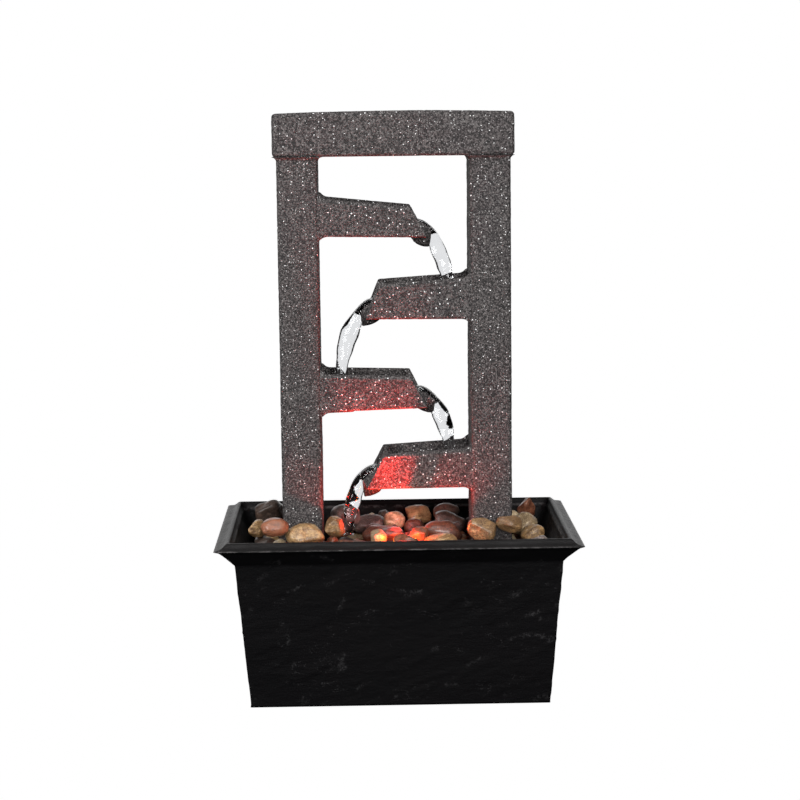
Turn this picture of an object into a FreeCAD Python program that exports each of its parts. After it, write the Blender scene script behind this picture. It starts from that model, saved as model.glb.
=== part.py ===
import FreeCAD, Part

import math
import os
import random
import re

import Sketcher

# Tabletop water fountain: a tapered basin, a two-post tower with four spouting troughs over it,
# a pebble bed on a perforated deck, and a small pump and a light hidden below the stones.
# Millimetres, +X to the viewer's right, +Y to the back, +Z up, origin on the ground under the centre.

Vector = FreeCAD.Vector
Rotation = FreeCAD.Rotation
Placement = FreeCAD.Placement

os.makedirs("parts", exist_ok=True)
doc = FreeCAD.newDocument("TabletopFountain")

# ---------------------------------------------------------------- driving dimensions
drivingSizes = {
    # basin, half widths along X and half depths along Y
    "footPeek": 1.2,
    "bottomHalfWidth": 73.9,
    "bottomHalfDepth": 45.0,
    "wallHalfWidth": 79.2,
    "wallHalfDepth": 52.5,
    "wallTop": 71.0,
    "coveFootHalfWidth": 79.6,
    "coveFootHalfDepth": 53.0,
    "coveFootHeight": 75.4,
    "coveBendHalfWidth": 81.4,
    "coveBendHalfDepth": 54.8,
    "coveBendHeight": 77.3,
    "rimTipHalfWidth": 89.3,
    "rimTipHalfDepth": 62.5,
    "rimTipHeight": 82.6,
    "rimTopHalfWidth": 83.1,
    "rimTopHalfDepth": 56.5,
    "rimTopHeight": 85.7,
    "rimLand": 1.1,
    "basinWall": 4.0,
    "footRadius": 6.0,
    "footHeight": 2.5,
    "footInset": 14.0,
    # deck plate, its hatch and the lid that closes it
    "deckTop": 64.0,
    "deckThickness": 3.0,
    "deckHalfWidth": 73.0,
    "deckHalfDepth": 46.0,
    "restX": 65.0,
    "restY": 36.0,
    "restSide": 9.0,
    "hatchWidth": 62.0,
    "hatchDepth": 32.0,
    "hatchY": 27.0,
    "lidOverlap": 3.0,
    "lidThickness": 2.4,
    "lidGap": 0.3,
    "slotWidth": 2.6,
    "slotLength": 16.0,
    # tower
    "postOuterX": 57.4,
    "postInnerX": 37.4,
    "postDepth": 36.0,
    "postTop": 269.4,
    "postWall": 3.2,
    "postFloor": 5.0,
    "postRound": 1.4,
    "lintelHalfWidth": 59.3,
    "lintelDepth": 40.0,
    "lintelTop": 290.7,
    "lintelCrown": 1.0,
    "spigotHeight": 8.0,
    "spigotSlack": 0.2,
    "troughDepth": 35.0,
    "troughWall": 2.8,
    "troughFloor": 4.5,
    "troughEndWall": 3.2,
    "lipHalfWidth": 8.8,
    "lipWall": 1.7,
    "notchWidth": 14.0,
    # troughs from the top down: along = how far past the centre plane the spout reaches
    "trough1RootTop": 249.3,
    "trough1TipTop": 244.6,
    "trough1TipAlong": 8.3,
    "trough1EndAlong": 16.3,
    "trough1RootBottom": 230.3,
    "trough1Bottom": 229.4,
    "trough1LipAlong": 17.0,
    "trough1LipHeight": 234.0,
    "trough1LipReach": 10.2,
    "trough1LipDrop": 9.7,
    "trough1LipFront": 18.6,
    "trough2RootTop": 209.7,
    "trough2TipTop": 206.9,
    "trough2TipAlong": 7.9,
    "trough2EndAlong": 15.0,
    "trough2RootBottom": 188.9,
    "trough2Bottom": 189.3,
    "trough2LipAlong": 17.0,
    "trough2LipHeight": 193.0,
    "trough2LipReach": 12.0,
    "trough2LipDrop": 8.1,
    "trough2LipFront": 17.3,
    "trough3RootTop": 162.2,
    "trough3TipTop": 161.0,
    "trough3TipAlong": 7.5,
    "trough3EndAlong": 15.6,
    "trough3RootBottom": 143.2,
    "trough3Bottom": 144.8,
    "trough3LipAlong": 18.5,
    "trough3LipHeight": 149.5,
    "trough3LipReach": 11.0,
    "trough3LipDrop": 8.8,
    "trough3LipFront": 19.8,
    "trough4RootTop": 124.4,
    "trough4TipTop": 121.8,
    "trough4TipAlong": 6.3,
    "trough4EndAlong": 15.6,
    "trough4RootBottom": 104.6,
    "trough4Bottom": 104.1,
    "trough4LipAlong": 16.5,
    "trough4LipHeight": 108.0,
    "trough4LipReach": 12.0,
    "trough4LipDrop": 9.8,
    "trough4LipFront": 17.4,
    # water falling from each lip: where it leaves, where it meets the next surface
    "stream1FromX": 20.8,
    "stream1FromZ": 229.5,
    "stream1ToX": 27.0,
    "stream1ToZ": 200.5,
    "stream2FromX": -19.8,
    "stream2FromZ": 189.0,
    "stream2ToX": -27.8,
    "stream2ToZ": 153.5,
    "stream3FromX": 21.6,
    "stream3FromZ": 146.0,
    "stream3ToX": 28.0,
    "stream3ToZ": 112.5,
    "stream4FromX": -19.6,
    "stream4FromZ": 103.5,
    "stream4ToX": -24.6,
    "stream4ToZ": 80.0,
    "streamThick": 2.8,
    "streamBroad": 3.9,
    # water path inside the left post
    "tubeRadius": 4.5,
    "tubeBore": 3.25,
    "tubeBottom": 43.0,
    "tubeTop": 226.0,
    "elbowRadius": 3.8,
    "elbowBore": 2.4,
    "elbowHeight": 241.0,
    "elbowBend": 9.0,
    "elbowReach": 6.5,
    "barbRadius": 3.2,
    # pump, its axis along X
    "pumpAxisZ": 24.0,
    "pumpFront": -51.5,
    "pumpBack": -6.0,
    "pumpHalfDepth": 16.0,
    "pumpBase": 10.5,
    "pumpCrown": 37.5,
    "voluteRadius": 11.5,
    "voluteBack": -43.0,
    "wellRadius": 6.6,
    "wellWall": 1.6,
    "wellEnd": -22.0,
    "magnetRadius": 6.0,
    "impellerRadius": 9.5,
    "shaftRadius": 1.0,
    "shaftClearance": 0.05,
    "bushRadius": 3.0,
    "bushLength": 2.0,
    "coverThickness": 2.0,
    "intakeFront": -62.0,
    "dialRadius": 7.5,
    "dialStem": 1.6,
    # light in front of the tower
    "lightX": 2.5,
    "lightY": -25.0,
    "lightRadius": 9.5,
    "lightWall": 1.6,
    "lightTop": 76.0,
    "lensDome": 1.6,
    # lead outlet in the rear wall
    "grommetX": 50.0,
    "grommetZ": 70.2,
    "grommetHole": 2.1,
    "grommetSleeve": 3.9,
    "grommetFlange": 5.4,
}

sheet = doc.addObject("Spreadsheet::Sheet", "sizes")
for row, (alias, number) in enumerate(drivingSizes.items(), start=1):
    sheet.set("A%d" % row, alias)
    sheet.set("B%d" % row, str(number))
    sheet.setAlias("B%d" % row, alias)
doc.recompute()

# ---------------------------------------------------------------- helpers
subParts = []


def formula(text):
    """Writes a formula's driving dimensions as references to the sheet."""
    def reference(word):
        return "sizes." + word[0] if word[0] in drivingSizes else word[0]

    return re.sub(r"[A-Za-z]\w*", reference, text)


def value(text):
    """The number that a formula gives now."""
    return float(sheet.evalExpression(formula(str(text))))


def bind(thing, **formulas):
    """Ties properties of an object to formulas of the driving dimensions."""
    for name, text in formulas.items():
        thing.setExpression(name, formula(str(text)))
    return thing


def place(thing, x, y, z, turn=None):
    """Puts an object at a place given by formulas, turned by a fixed rotation."""
    if turn is not None:
        thing.Placement = Placement(Vector(), turn)
    for axis, text in zip("xyz", (x, y, z)):
        thing.setExpression("Placement.Base." + axis, formula(str(text)))
    return thing


def keep(label, thing):
    """Names a finished sub-part."""
    thing.Label = label
    subParts.append(thing)
    return thing


def box(name, xRange, yRange, zRange):
    """A block between two formulas along each axis."""
    block = doc.addObject("Part::Box", name)
    for size, (low, high) in zip(("Length", "Width", "Height"), (xRange, yRange, zRange)):
        bind(block, **{size: "(%s) - (%s)" % (high, low)})
    return place(block, xRange[0], yRange[0], zRange[0])


lengthwise = Rotation(Vector(0, 1, 0), 90)
backwards = Rotation(Vector(1, 0, 0), -90)


def rod(name, radius, length, x, y, z, turn=None):
    """A cylinder from a place, upright unless it is turned."""
    cylinder = doc.addObject("Part::Cylinder", name)
    bind(cylinder, Radius=radius, Height=length)
    return place(cylinder, x, y, z, turn)


def cut(name, base, *tools):
    """The base without the tools."""
    result = doc.addObject("Part::Cut", name)
    result.Base = base
    result.Tool = tools[0] if len(tools) == 1 else join(name + "Tools", *tools)
    return result


def join(name, *pieces):
    """Several pieces as one."""
    result = doc.addObject("Part::MultiFuse", name)
    result.Shapes = list(pieces)
    return result


def group(name, pieces):
    """Several separate pieces that share one sub-part."""
    result = doc.addObject("Part::Compound", name)
    result.Links = list(pieces)
    return result


def newSketch(body, name, role, offset="0"):
    """A sketch on one of the body's own origin planes, moved along the plane's normal."""
    sketch = body.newObject("Sketcher::SketchObject", name)
    plane = [feature for feature in body.Origin.OriginFeatures if feature.Role == role][0]
    sketch.AttachmentSupport = [(plane, "")]
    sketch.MapMode = "FlatFace"
    sketch.setExpression("AttachmentOffset.Base.z", formula(str(offset)))
    return sketch


def dimension(sketch, kind, target, text):
    """A dimension of a sketch that follows a formula."""
    index = sketch.addConstraint(Sketcher.Constraint(kind, *target, value(text)))
    sketch.setExpression("Constraints[%d]" % index, formula(str(text)))


def closedLines(sketch, points):
    """Lines through the points and back to the first, joined end to end."""
    first = sketch.GeometryCount
    count = len(points)
    for index, point in enumerate(points):
        sketch.addGeometry(Part.LineSegment(point, points[(index + 1) % count]), False)
    for index in range(count):
        following = first + (index + 1) % count
        sketch.addConstraint(Sketcher.Constraint("Coincident", first + index, 2, following, 1))
    return first


def outline(sketch, corners):
    """A closed polygon whose corners each follow two formulas."""
    first = closedLines(sketch, [Vector(value(x), value(y), 0) for x, y in corners])
    for index, (x, y) in enumerate(corners):
        dimension(sketch, "DistanceX", (-1, 1, first + index, 1), x)
        dimension(sketch, "DistanceY", (-1, 1, first + index, 1), y)


def rectangle(sketch, halfWidth, halfDepth, x="0", y="0"):
    """A rectangle about a centre, its half sizes given by formulas."""
    west, east = "(%s) - (%s)" % (x, halfWidth), "(%s) + (%s)" % (x, halfWidth)
    south, north = "(%s) - (%s)" % (y, halfDepth), "(%s) + (%s)" % (y, halfDepth)
    outline(sketch, [(west, south), (east, south), (east, north), (west, north)])


def circle(sketch, radius, x, y):
    """A circle whose radius and centre follow formulas."""
    ring = Part.Circle(Vector(value(x), value(y), 0), Vector(0, 0, 1), value(radius))
    index = sketch.addGeometry(ring, False)
    dimension(sketch, "Radius", (index,), radius)
    dimension(sketch, "DistanceX", (-1, 1, index, 3), x)
    dimension(sketch, "DistanceY", (-1, 1, index, 3), y)


def pad(body, sketch, length, bothWays=False):
    """Material along a sketch's normal, or half each way."""
    feature = body.newObject("PartDesign::Pad", sketch.Name + "Pad")
    feature.Profile = sketch
    if bothWays:
        feature.SideType = "Symmetric"
    return bind(feature, Length=length)


def pocket(body, sketch, length, bothWays=False):
    """A hollow against a sketch's normal, or half each way."""
    feature = body.newObject("PartDesign::Pocket", sketch.Name + "Pocket")
    feature.Profile = sketch
    if bothWays:
        feature.SideType = "Symmetric"
    return bind(feature, Length=length)


def loft(body, kind, sketches):
    """Straight-sided material or hollow through several sketches."""
    feature = body.newObject("PartDesign::" + kind, sketches[0].Name + "Loft")
    feature.Profile = sketches[0]
    feature.Sections = sketches[1:]
    feature.Ruled = True
    return feature


def roundEdges(body, base, radius, chosen):
    """Rounds the edges of a feature that the test picks."""
    doc.recompute()
    names = ["Edge%d" % number for number, edge in enumerate(base.Shape.Edges, start=1) if chosen(edge)]
    feature = body.newObject("PartDesign::Fillet", base.Name + "Round")
    feature.Base = (base, names)
    return bind(feature, Radius=radius)


def isUpright(edge):
    """Whether an edge rises more than it runs sideways."""
    start, end = edge.Vertexes[0].Point, edge.Vertexes[-1].Point
    return abs(end.z - start.z) > 3 * math.hypot(end.x - start.x, end.y - start.y)


# ---------------------------------------------------------------- basin
def makeBasin():
    body = doc.addObject("PartDesign::Body", "Basin")
    # under the rim the wall bends out through a short cove to the slanting underside of the rim
    outer = [
        ("bottomHalfWidth", "bottomHalfDepth", "footPeek"),
        ("coveFootHalfWidth", "coveFootHalfDepth", "coveFootHeight"),
        ("coveBendHalfWidth", "coveBendHalfDepth", "coveBendHeight"),
        ("rimTipHalfWidth", "rimTipHalfDepth", "rimTipHeight"),
    ]
    outer.append(("rimTopHalfWidth", "rimTopHalfDepth", "rimTopHeight"))
    sections = []
    for index, (halfWidth, halfDepth, height) in enumerate(outer):
        sketch = newSketch(body, "BasinOuter%d" % index, "XY_Plane", height)
        rectangle(sketch, halfWidth, halfDepth)
        sections.append(sketch)
    loft(body, "AdditiveLoft", sections)
    inner = [
        ("bottomHalfWidth - basinWall", "bottomHalfDepth - basinWall", "footPeek + basinWall"),
        ("wallHalfWidth - basinWall", "wallHalfDepth - basinWall", "wallTop"),
        ("rimTopHalfWidth - rimLand", "rimTopHalfDepth - rimLand", "rimTopHeight"),
    ]
    hollow = []
    for index, (halfWidth, halfDepth, height) in enumerate(inner):
        sketch = newSketch(body, "BasinInner%d" % index, "XY_Plane", height)
        rectangle(sketch, halfWidth, halfDepth)
        hollow.append(sketch)
    loft(body, "SubtractiveLoft", hollow)
    # four pillars that carry the deck
    pillars = newSketch(body, "BasinRests", "XY_Plane", "footPeek + basinWall / 2")
    feet = newSketch(body, "BasinFootSeats", "XY_Plane", "footHeight + 0.1")
    for sideX in ("-1", "1"):
        for sideY in ("-1", "1"):
            rectangle(pillars, "restSide / 2", "restSide / 2", sideX + " * restX", sideY + " * restY")
            circle(feet, "footRadius + 0.2", sideX + " * (bottomHalfWidth - footInset)",
                   sideY + " * (bottomHalfDepth - footInset)")
    pad(body, pillars, "deckTop - deckThickness - footPeek - basinWall / 2")
    pocket(body, feet, "footHeight")
    # the lead's outlet, high in the rear wall
    outlet = newSketch(body, "BasinOutlet", "XZ_Plane", "-rimTipHalfDepth")
    circle(outlet, "grommetSleeve + 0.1", "grommetX", "grommetZ")
    hole = pocket(body, outlet, "rimTipHalfDepth - wallHalfDepth + 3 * basinWall")
    doc.recompute()
    if hole.Shape.Volume > hole.BaseFeature.Shape.Volume - 1:
        hole.Reversed = True
    keep("basin", body)


def makeFeet():
    feet = []
    for sideX in ("-1", "1"):
        for sideY in ("-1", "1"):
            feet.append(rod("Foot", "footRadius", "footHeight", sideX + " * (bottomHalfWidth - footInset)",
                            sideY + " * (bottomHalfDepth - footInset)", 0))
    keep("rubber_feet", group("RubberFeet", feet))


def makeGrommet():
    wallMiddle = "(wallHalfDepth - basinWall / 2 - (wallTop - grommetZ) / (wallTop - footPeek)" \
                 " * (wallHalfDepth - bottomHalfDepth))"
    halfGap = "(basinWall / 2 + 1.5)"
    flange = 1.5
    sleeve = rod("GrommetSleeve", "grommetSleeve", "2 * " + halfGap, "grommetX",
                 wallMiddle + " - " + halfGap, "grommetZ", backwards)
    inside = rod("GrommetInside", "grommetFlange", flange, "grommetX",
                 "%s - %s - %s" % (wallMiddle, halfGap, flange), "grommetZ", backwards)
    outside = rod("GrommetOutside", "grommetFlange", flange, "grommetX",
                  wallMiddle + " + " + halfGap, "grommetZ", backwards)
    hole = rod("GrommetBore", "grommetHole", "4 * basinWall", "grommetX",
               wallMiddle + " - 2 * basinWall", "grommetZ", backwards)
    keep("cord_grommet", cut("CordGrommet", join("GrommetRing", sleeve, inside, outside), hole))


# ---------------------------------------------------------------- deck and lid
postMiddle = "(postOuterX + postInnerX) / 2"
screwY = "postDepth / 2 - 5.5"


def makeDeck():
    body = doc.addObject("PartDesign::Body", "Deck")
    plate = newSketch(body, "DeckPlate", "XY_Plane", "deckTop - deckThickness")
    rectangle(plate, "deckHalfWidth", "deckHalfDepth")
    roundEdges(body, pad(body, plate, "deckThickness"), 5, isUpright)
    openings = newSketch(body, "DeckOpenings", "XY_Plane", "deckTop")
    rectangle(openings, "hatchWidth / 2", "hatchDepth / 2", "0", "hatchY")
    circle(openings, "tubeRadius + 0.6", "-1 * " + postMiddle, "0")
    circle(openings, 1.6, "lightX", "lightY")
    for side in ("-1", "1"):
        for end in ("-1", "1"):
            circle(openings, 1.7, "%s * %s" % (side, postMiddle), "%s * (%s)" % (end, screwY))
    pocket(body, openings, "deckThickness")
    # drain slots outside the posts, and a row across the front and under the last spout
    slots = newSketch(body, "DeckSlots", "XY_Plane", "deckTop")
    for side in ("-1", "1"):
        for step in range(-4, 5):
            beside = side + " * (postOuterX + 8)"
            rectangle(slots, "slotLength / 4", "slotWidth / 2", beside, "%d * 8" % step)
    for step in range(-5, 6):
        if abs(step) > 1:
            rectangle(slots, "slotWidth / 2", "slotLength / 2", "%d * 8" % step, "-deckHalfDepth + 14")
    for step in (-3, -2, -1, 1, 2, 3):
        rectangle(slots, "slotWidth / 2", "slotLength / 3", "%d * 8" % step, "-4")
    pocket(body, slots, "deckThickness")
    keep("deck_plate", body)


def makeLid():
    body = doc.addObject("PartDesign::Body", "Lid")
    base = "deckTop + lidGap"
    plate = newSketch(body, "LidPlate", "XY_Plane", base)
    rectangle(plate, "hatchWidth / 2 + lidOverlap", "hatchDepth / 2 + lidOverlap", "0", "hatchY")
    roundEdges(body, pad(body, plate, "lidThickness"), 3, isUpright)
    # a rim below the plate drops into the hatch
    rim = newSketch(body, "LidRim", "XY_Plane", base + " - 2")
    rectangle(rim, "hatchWidth / 2 - 0.5", "hatchDepth / 2 - 0.5", "0", "hatchY")
    rectangle(rim, "hatchWidth / 2 - 2.5", "hatchDepth / 2 - 2.5", "0", "hatchY")
    pad(body, rim, 2)
    slots = newSketch(body, "LidSlots", "XY_Plane", base + " + lidThickness")
    for step in range(-3, 4):
        rectangle(slots, "slotWidth / 2", "slotLength / 2", "%d * 7" % step, "hatchY")
    pocket(body, slots, "lidThickness")
    keep("access_lid", body)


# ---------------------------------------------------------------- tower
def makePost(label, side):
    body = doc.addObject("PartDesign::Body", label)
    middle = "%d * %s" % (side, postMiddle)
    section = newSketch(body, label + "Section", "XY_Plane", "deckTop")
    rectangle(section, "(postOuterX - postInnerX) / 2", "postDepth / 2", middle)
    roundEdges(body, pad(body, section, "postTop - deckTop"), "postRound", isUpright)
    bore = newSketch(body, label + "Bore", "XY_Plane", "postTop")
    rectangle(bore, "(postOuterX - postInnerX) / 2 - postWall", "postDepth / 2 - postWall", middle)
    pocket(body, bore, "postTop - deckTop - postFloor")
    holes = newSketch(body, label + "Holes", "XY_Plane", "deckTop + postFloor")
    for end in ("-1", "1"):
        circle(holes, 1.5, middle, "%s * (%s)" % (end, screwY))
    if side < 0:
        circle(holes, "tubeRadius + 0.3", middle, "0")
    pocket(body, holes, "postFloor")
    if side < 0:
        # the elbow comes out of the left post here
        spout = newSketch(body, label + "Spout", "YZ_Plane", "-postInnerX")
        circle(spout, "elbowRadius + 0.5", "0", "elbowHeight")
        pocket(body, spout, "postWall")
    keep(label, body)


def makeLintel():
    body = doc.addObject("PartDesign::Body", "Lintel")
    face = newSketch(body, "LintelFace", "XZ_Plane")
    half, high = value("lintelHalfWidth"), value("lintelTop")
    west, east = Vector(-half, high, 0), Vector(half, high, 0)
    crown = Vector(0, value("lintelTop + lintelCrown"), 0)
    low = value("postTop")
    face.addGeometry(Part.LineSegment(Vector(west.x, low, 0), Vector(east.x, low, 0)), False)
    face.addGeometry(Part.LineSegment(Vector(east.x, low, 0), east), False)
    face.addGeometry(Part.Arc(east, crown, west), False)
    face.addGeometry(Part.LineSegment(west, Vector(west.x, low, 0)), False)
    face.addConstraint(Sketcher.Constraint("Coincident", 0, 2, 1, 1))
    face.addConstraint(Sketcher.Constraint("Coincident", 1, 2, 2, 1))
    face.addConstraint(Sketcher.Constraint("Coincident", 2, 2, 3, 1))
    face.addConstraint(Sketcher.Constraint("Coincident", 3, 2, 0, 1))
    for line, x, z in ((0, "-lintelHalfWidth", "postTop"), (1, "lintelHalfWidth", "postTop"),
                       (2, "lintelHalfWidth", "lintelTop"), (3, "-lintelHalfWidth", "lintelTop")):
        dimension(face, "DistanceX", (-1, 1, line, 1), x)
        dimension(face, "DistanceY", (-1, 1, line, 1), z)
    dimension(face, "Radius", (2,), "(lintelHalfWidth ^ 2 + lintelCrown ^ 2) / (2 * lintelCrown)")
    beam = pad(body, face, "lintelDepth", bothWays=True)
    roundEdges(body, beam, "postRound", lambda edge: edge.Length > 10)
    spigots = newSketch(body, "LintelSpigots", "XY_Plane", "postTop - spigotHeight")
    for side in ("-1", "1"):
        rectangle(spigots, "(postOuterX - postInnerX) / 2 - postWall - spigotSlack",
                  "postDepth / 2 - postWall - spigotSlack", "%s * %s" % (side, postMiddle))
    pad(body, spigots, "spigotHeight")
    keep("lintel", body)


def makeTrough(number, side):
    """An open channel on one post, closed at its slanted end but for a notch with a pouring lip."""
    mine = "trough%d" % number
    label = "trough_%d" % number
    body = doc.addObject("PartDesign::Body", "Trough%d" % number)

    def at(along, height):
        return "%d * (%s)" % (side, along), height

    root = "-postInnerX"
    floor = mine + "Bottom + troughFloor"
    faceSketch = newSketch(body, "Trough%dSide" % number, "XZ_Plane")
    outline(faceSketch, [
        at(root, mine + "RootTop"), at(mine + "TipAlong", mine + "TipTop"),
        at(mine + "EndAlong", mine + "Bottom"), at(root, mine + "RootBottom"),
    ])
    pad(body, faceSketch, "troughDepth", bothWays=True)

    def bowl(kind, less):
        ellipsoid = body.newObject("PartDesign::" + kind + "Ellipsoid", "Trough%d%sLip" % (number, kind))
        bind(ellipsoid, Radius1="%sLipDrop - %s" % (mine, less), Radius2="%sLipReach - %s" % (mine, less),
             Radius3="lipHalfWidth - " + less)
        return place(ellipsoid, "%d * %sLipAlong" % (side, mine), "0", mine + "LipHeight")

    bowl("Additive", "0")
    channel = newSketch(body, "Trough%dChannel" % number, "XZ_Plane")
    outline(channel, [
        at(root, mine + "RootTop + 2"), at(mine + "TipAlong - troughEndWall - 0.5", mine + "TipTop + 2"),
        at(mine + "EndAlong - troughEndWall - 1.5", floor), at(root, mine + "RootBottom + troughFloor"),
    ])
    pocket(body, channel, "troughDepth - 2 * troughWall", bothWays=True)
    bowl("Subtractive", "lipWall")
    # the lip is open in front and above its sloping brim: what stands there is taken away
    brimTop = mine + "Bottom + 9.5"
    tip = "%sLipAlong + %sLipReach + 2" % (mine, mine)
    slope = "(%sEndAlong - %sTipAlong) / (%sTipTop - %sBottom)" % (mine, mine, mine, mine)
    brimAlong = "%sEndAlong - 9.5 * %s + 0.05" % (mine, slope)
    underLip = "%sLipHeight - %sLipDrop - 2" % (mine, mine)
    beyondLip = newSketch(body, "Trough%dBeyondLip" % number, "XZ_Plane")
    outline(beyondLip, [
        at(brimAlong, brimTop), at(mine + "LipFront", mine + "Bottom + 3"),
        at(mine + "LipFront - 1", underLip), at(tip, underLip), at(tip, mine + "TipTop + 2"),
        at(mine + "TipAlong + 1.5", mine + "TipTop + 2"),
    ])
    pocket(body, beyondLip, "2 * lipHalfWidth + 2", bothWays=True)
    notch = newSketch(body, "Trough%dNotch" % number, "XZ_Plane")
    outline(notch, [
        at(mine + "EndAlong - 8", mine + "LipHeight"), at(mine + "EndAlong + 1", mine + "LipHeight"),
        at(tip, mine + "TipTop + 2"), at(mine + "TipAlong - 8", mine + "TipTop + 2"),
    ])
    pocket(body, notch, "notchWidth", bothWays=True)
    keep(label, body)


def makeScrews():
    screws = []
    for side in ("-1", "1"):
        for end in ("-1", "1"):
            x, y = "%s * %s" % (side, postMiddle), "%s * (%s)" % (end, screwY)
            shank = rod("ScrewShank", 1.4, "deckThickness + postFloor + 2", x, y, "deckTop - deckThickness")
            head = rod("ScrewHead", 3, 2, x, y, "deckTop - deckThickness - 2")
            screws.append(join("Screw", shank, head))
    keep("post_screws", group("PostScrews", screws))


# ---------------------------------------------------------------- falling water
def makeStream(number):
    """A closed spindle along a falling arc, broader along Y than it is thick."""
    mine = "stream%d" % number
    start = Vector(value(mine + "FromX"), 0, value(mine + "FromZ"))
    end = Vector(value(mine + "ToX"), 0, value(mine + "ToZ"))
    thick, broad = value("streamThick"), value("streamBroad")
    wires = []
    for share in (0.0, 0.25, 0.5, 0.75, 1.0):
        centre = Vector(start.x + (end.x - start.x) * (1.5 * share - 0.5 * share ** 2), 0,
                        start.z + (end.z - start.z) * (0.6 * share + 0.4 * share ** 2))
        slimmer = 1 - 0.25 * share
        points = []
        for step in range(12):
            angle = math.radians(30 * step)
            across, along = thick * slimmer * math.cos(angle), broad * slimmer * math.sin(angle)
            points.append(centre + Vector(across, along, 0))
        curve = Part.BSplineCurve()
        curve.interpolate(points, PeriodicFlag=True)
        wires.append(Part.Wire(curve.toShape()))
    stream = doc.addObject("Part::Feature", "Stream%d" % number)
    stream.Shape = Part.makeLoft(wires, True, False)
    keep("water_stream_%d" % number, stream)


# ---------------------------------------------------------------- water path in the left post
def makeTubeAndElbow():
    x = "-1 * " + postMiddle
    length = "tubeTop - tubeBottom"
    keep("supply_tube", cut("SupplyTube", rod("TubeOuter", "tubeRadius", length, x, 0, "tubeBottom"),
                            rod("TubeBore", "tubeBore", length, x, 0, "tubeBottom")))

    def elbow(name, radius):
        """A sweep up the post, round a quarter circle and out towards the first trough."""
        left, top, bend = value(x), value("elbowHeight"), value("elbowBend")
        foot = Vector(left, 0, value("tubeTop") - 8)
        turnStart = Vector(left, 0, top - bend)
        turnMiddle = Vector(left + bend * (1 - math.sqrt(0.5)), 0, top - bend * (1 - math.sqrt(0.5)))
        turnEnd = Vector(left + bend, 0, top)
        mouth = Vector(-value("postInnerX") + value("elbowReach"), 0, top)
        path = Part.Wire([
            Part.LineSegment(foot, turnStart).toShape(),
            Part.Arc(turnStart, turnMiddle, turnEnd).toShape(),
            Part.LineSegment(turnEnd, mouth).toShape(),
        ])
        ring = Part.Wire(Part.makeCircle(radius, foot, Vector(0, 0, 1)))
        swept = doc.addObject("Part::Feature", name)
        swept.Shape = path.makePipeShell([ring], True, False)
        return swept

    stub = rod("ElbowStub", "elbowRadius + 1", 10, x, 0, "tubeTop - 10")
    stubBore = rod("ElbowStubCore", "barbRadius", 10, x, 0, "tubeTop - 10")
    collar = rod("ElbowCollar", "tubeRadius", 2, x, 0, "tubeTop")
    thinned = cut("ElbowStubRing", stub, stubBore)
    slimStub = cut("ElbowSlim", elbow("ElbowOuter", value("elbowRadius")), thinned)
    keep("outlet_elbow", cut("OutletElbow", join("ElbowBody", slimStub, collar),
                             elbow("ElbowHole", value("elbowBore"))))


# ---------------------------------------------------------------- pump
def axial(name, radius, start, end):
    """A cylinder about the pump's axis between two places along X."""
    return rod(name, radius, "(%s) - (%s)" % (end, start), start, 0, "pumpAxisZ", lengthwise)


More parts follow.
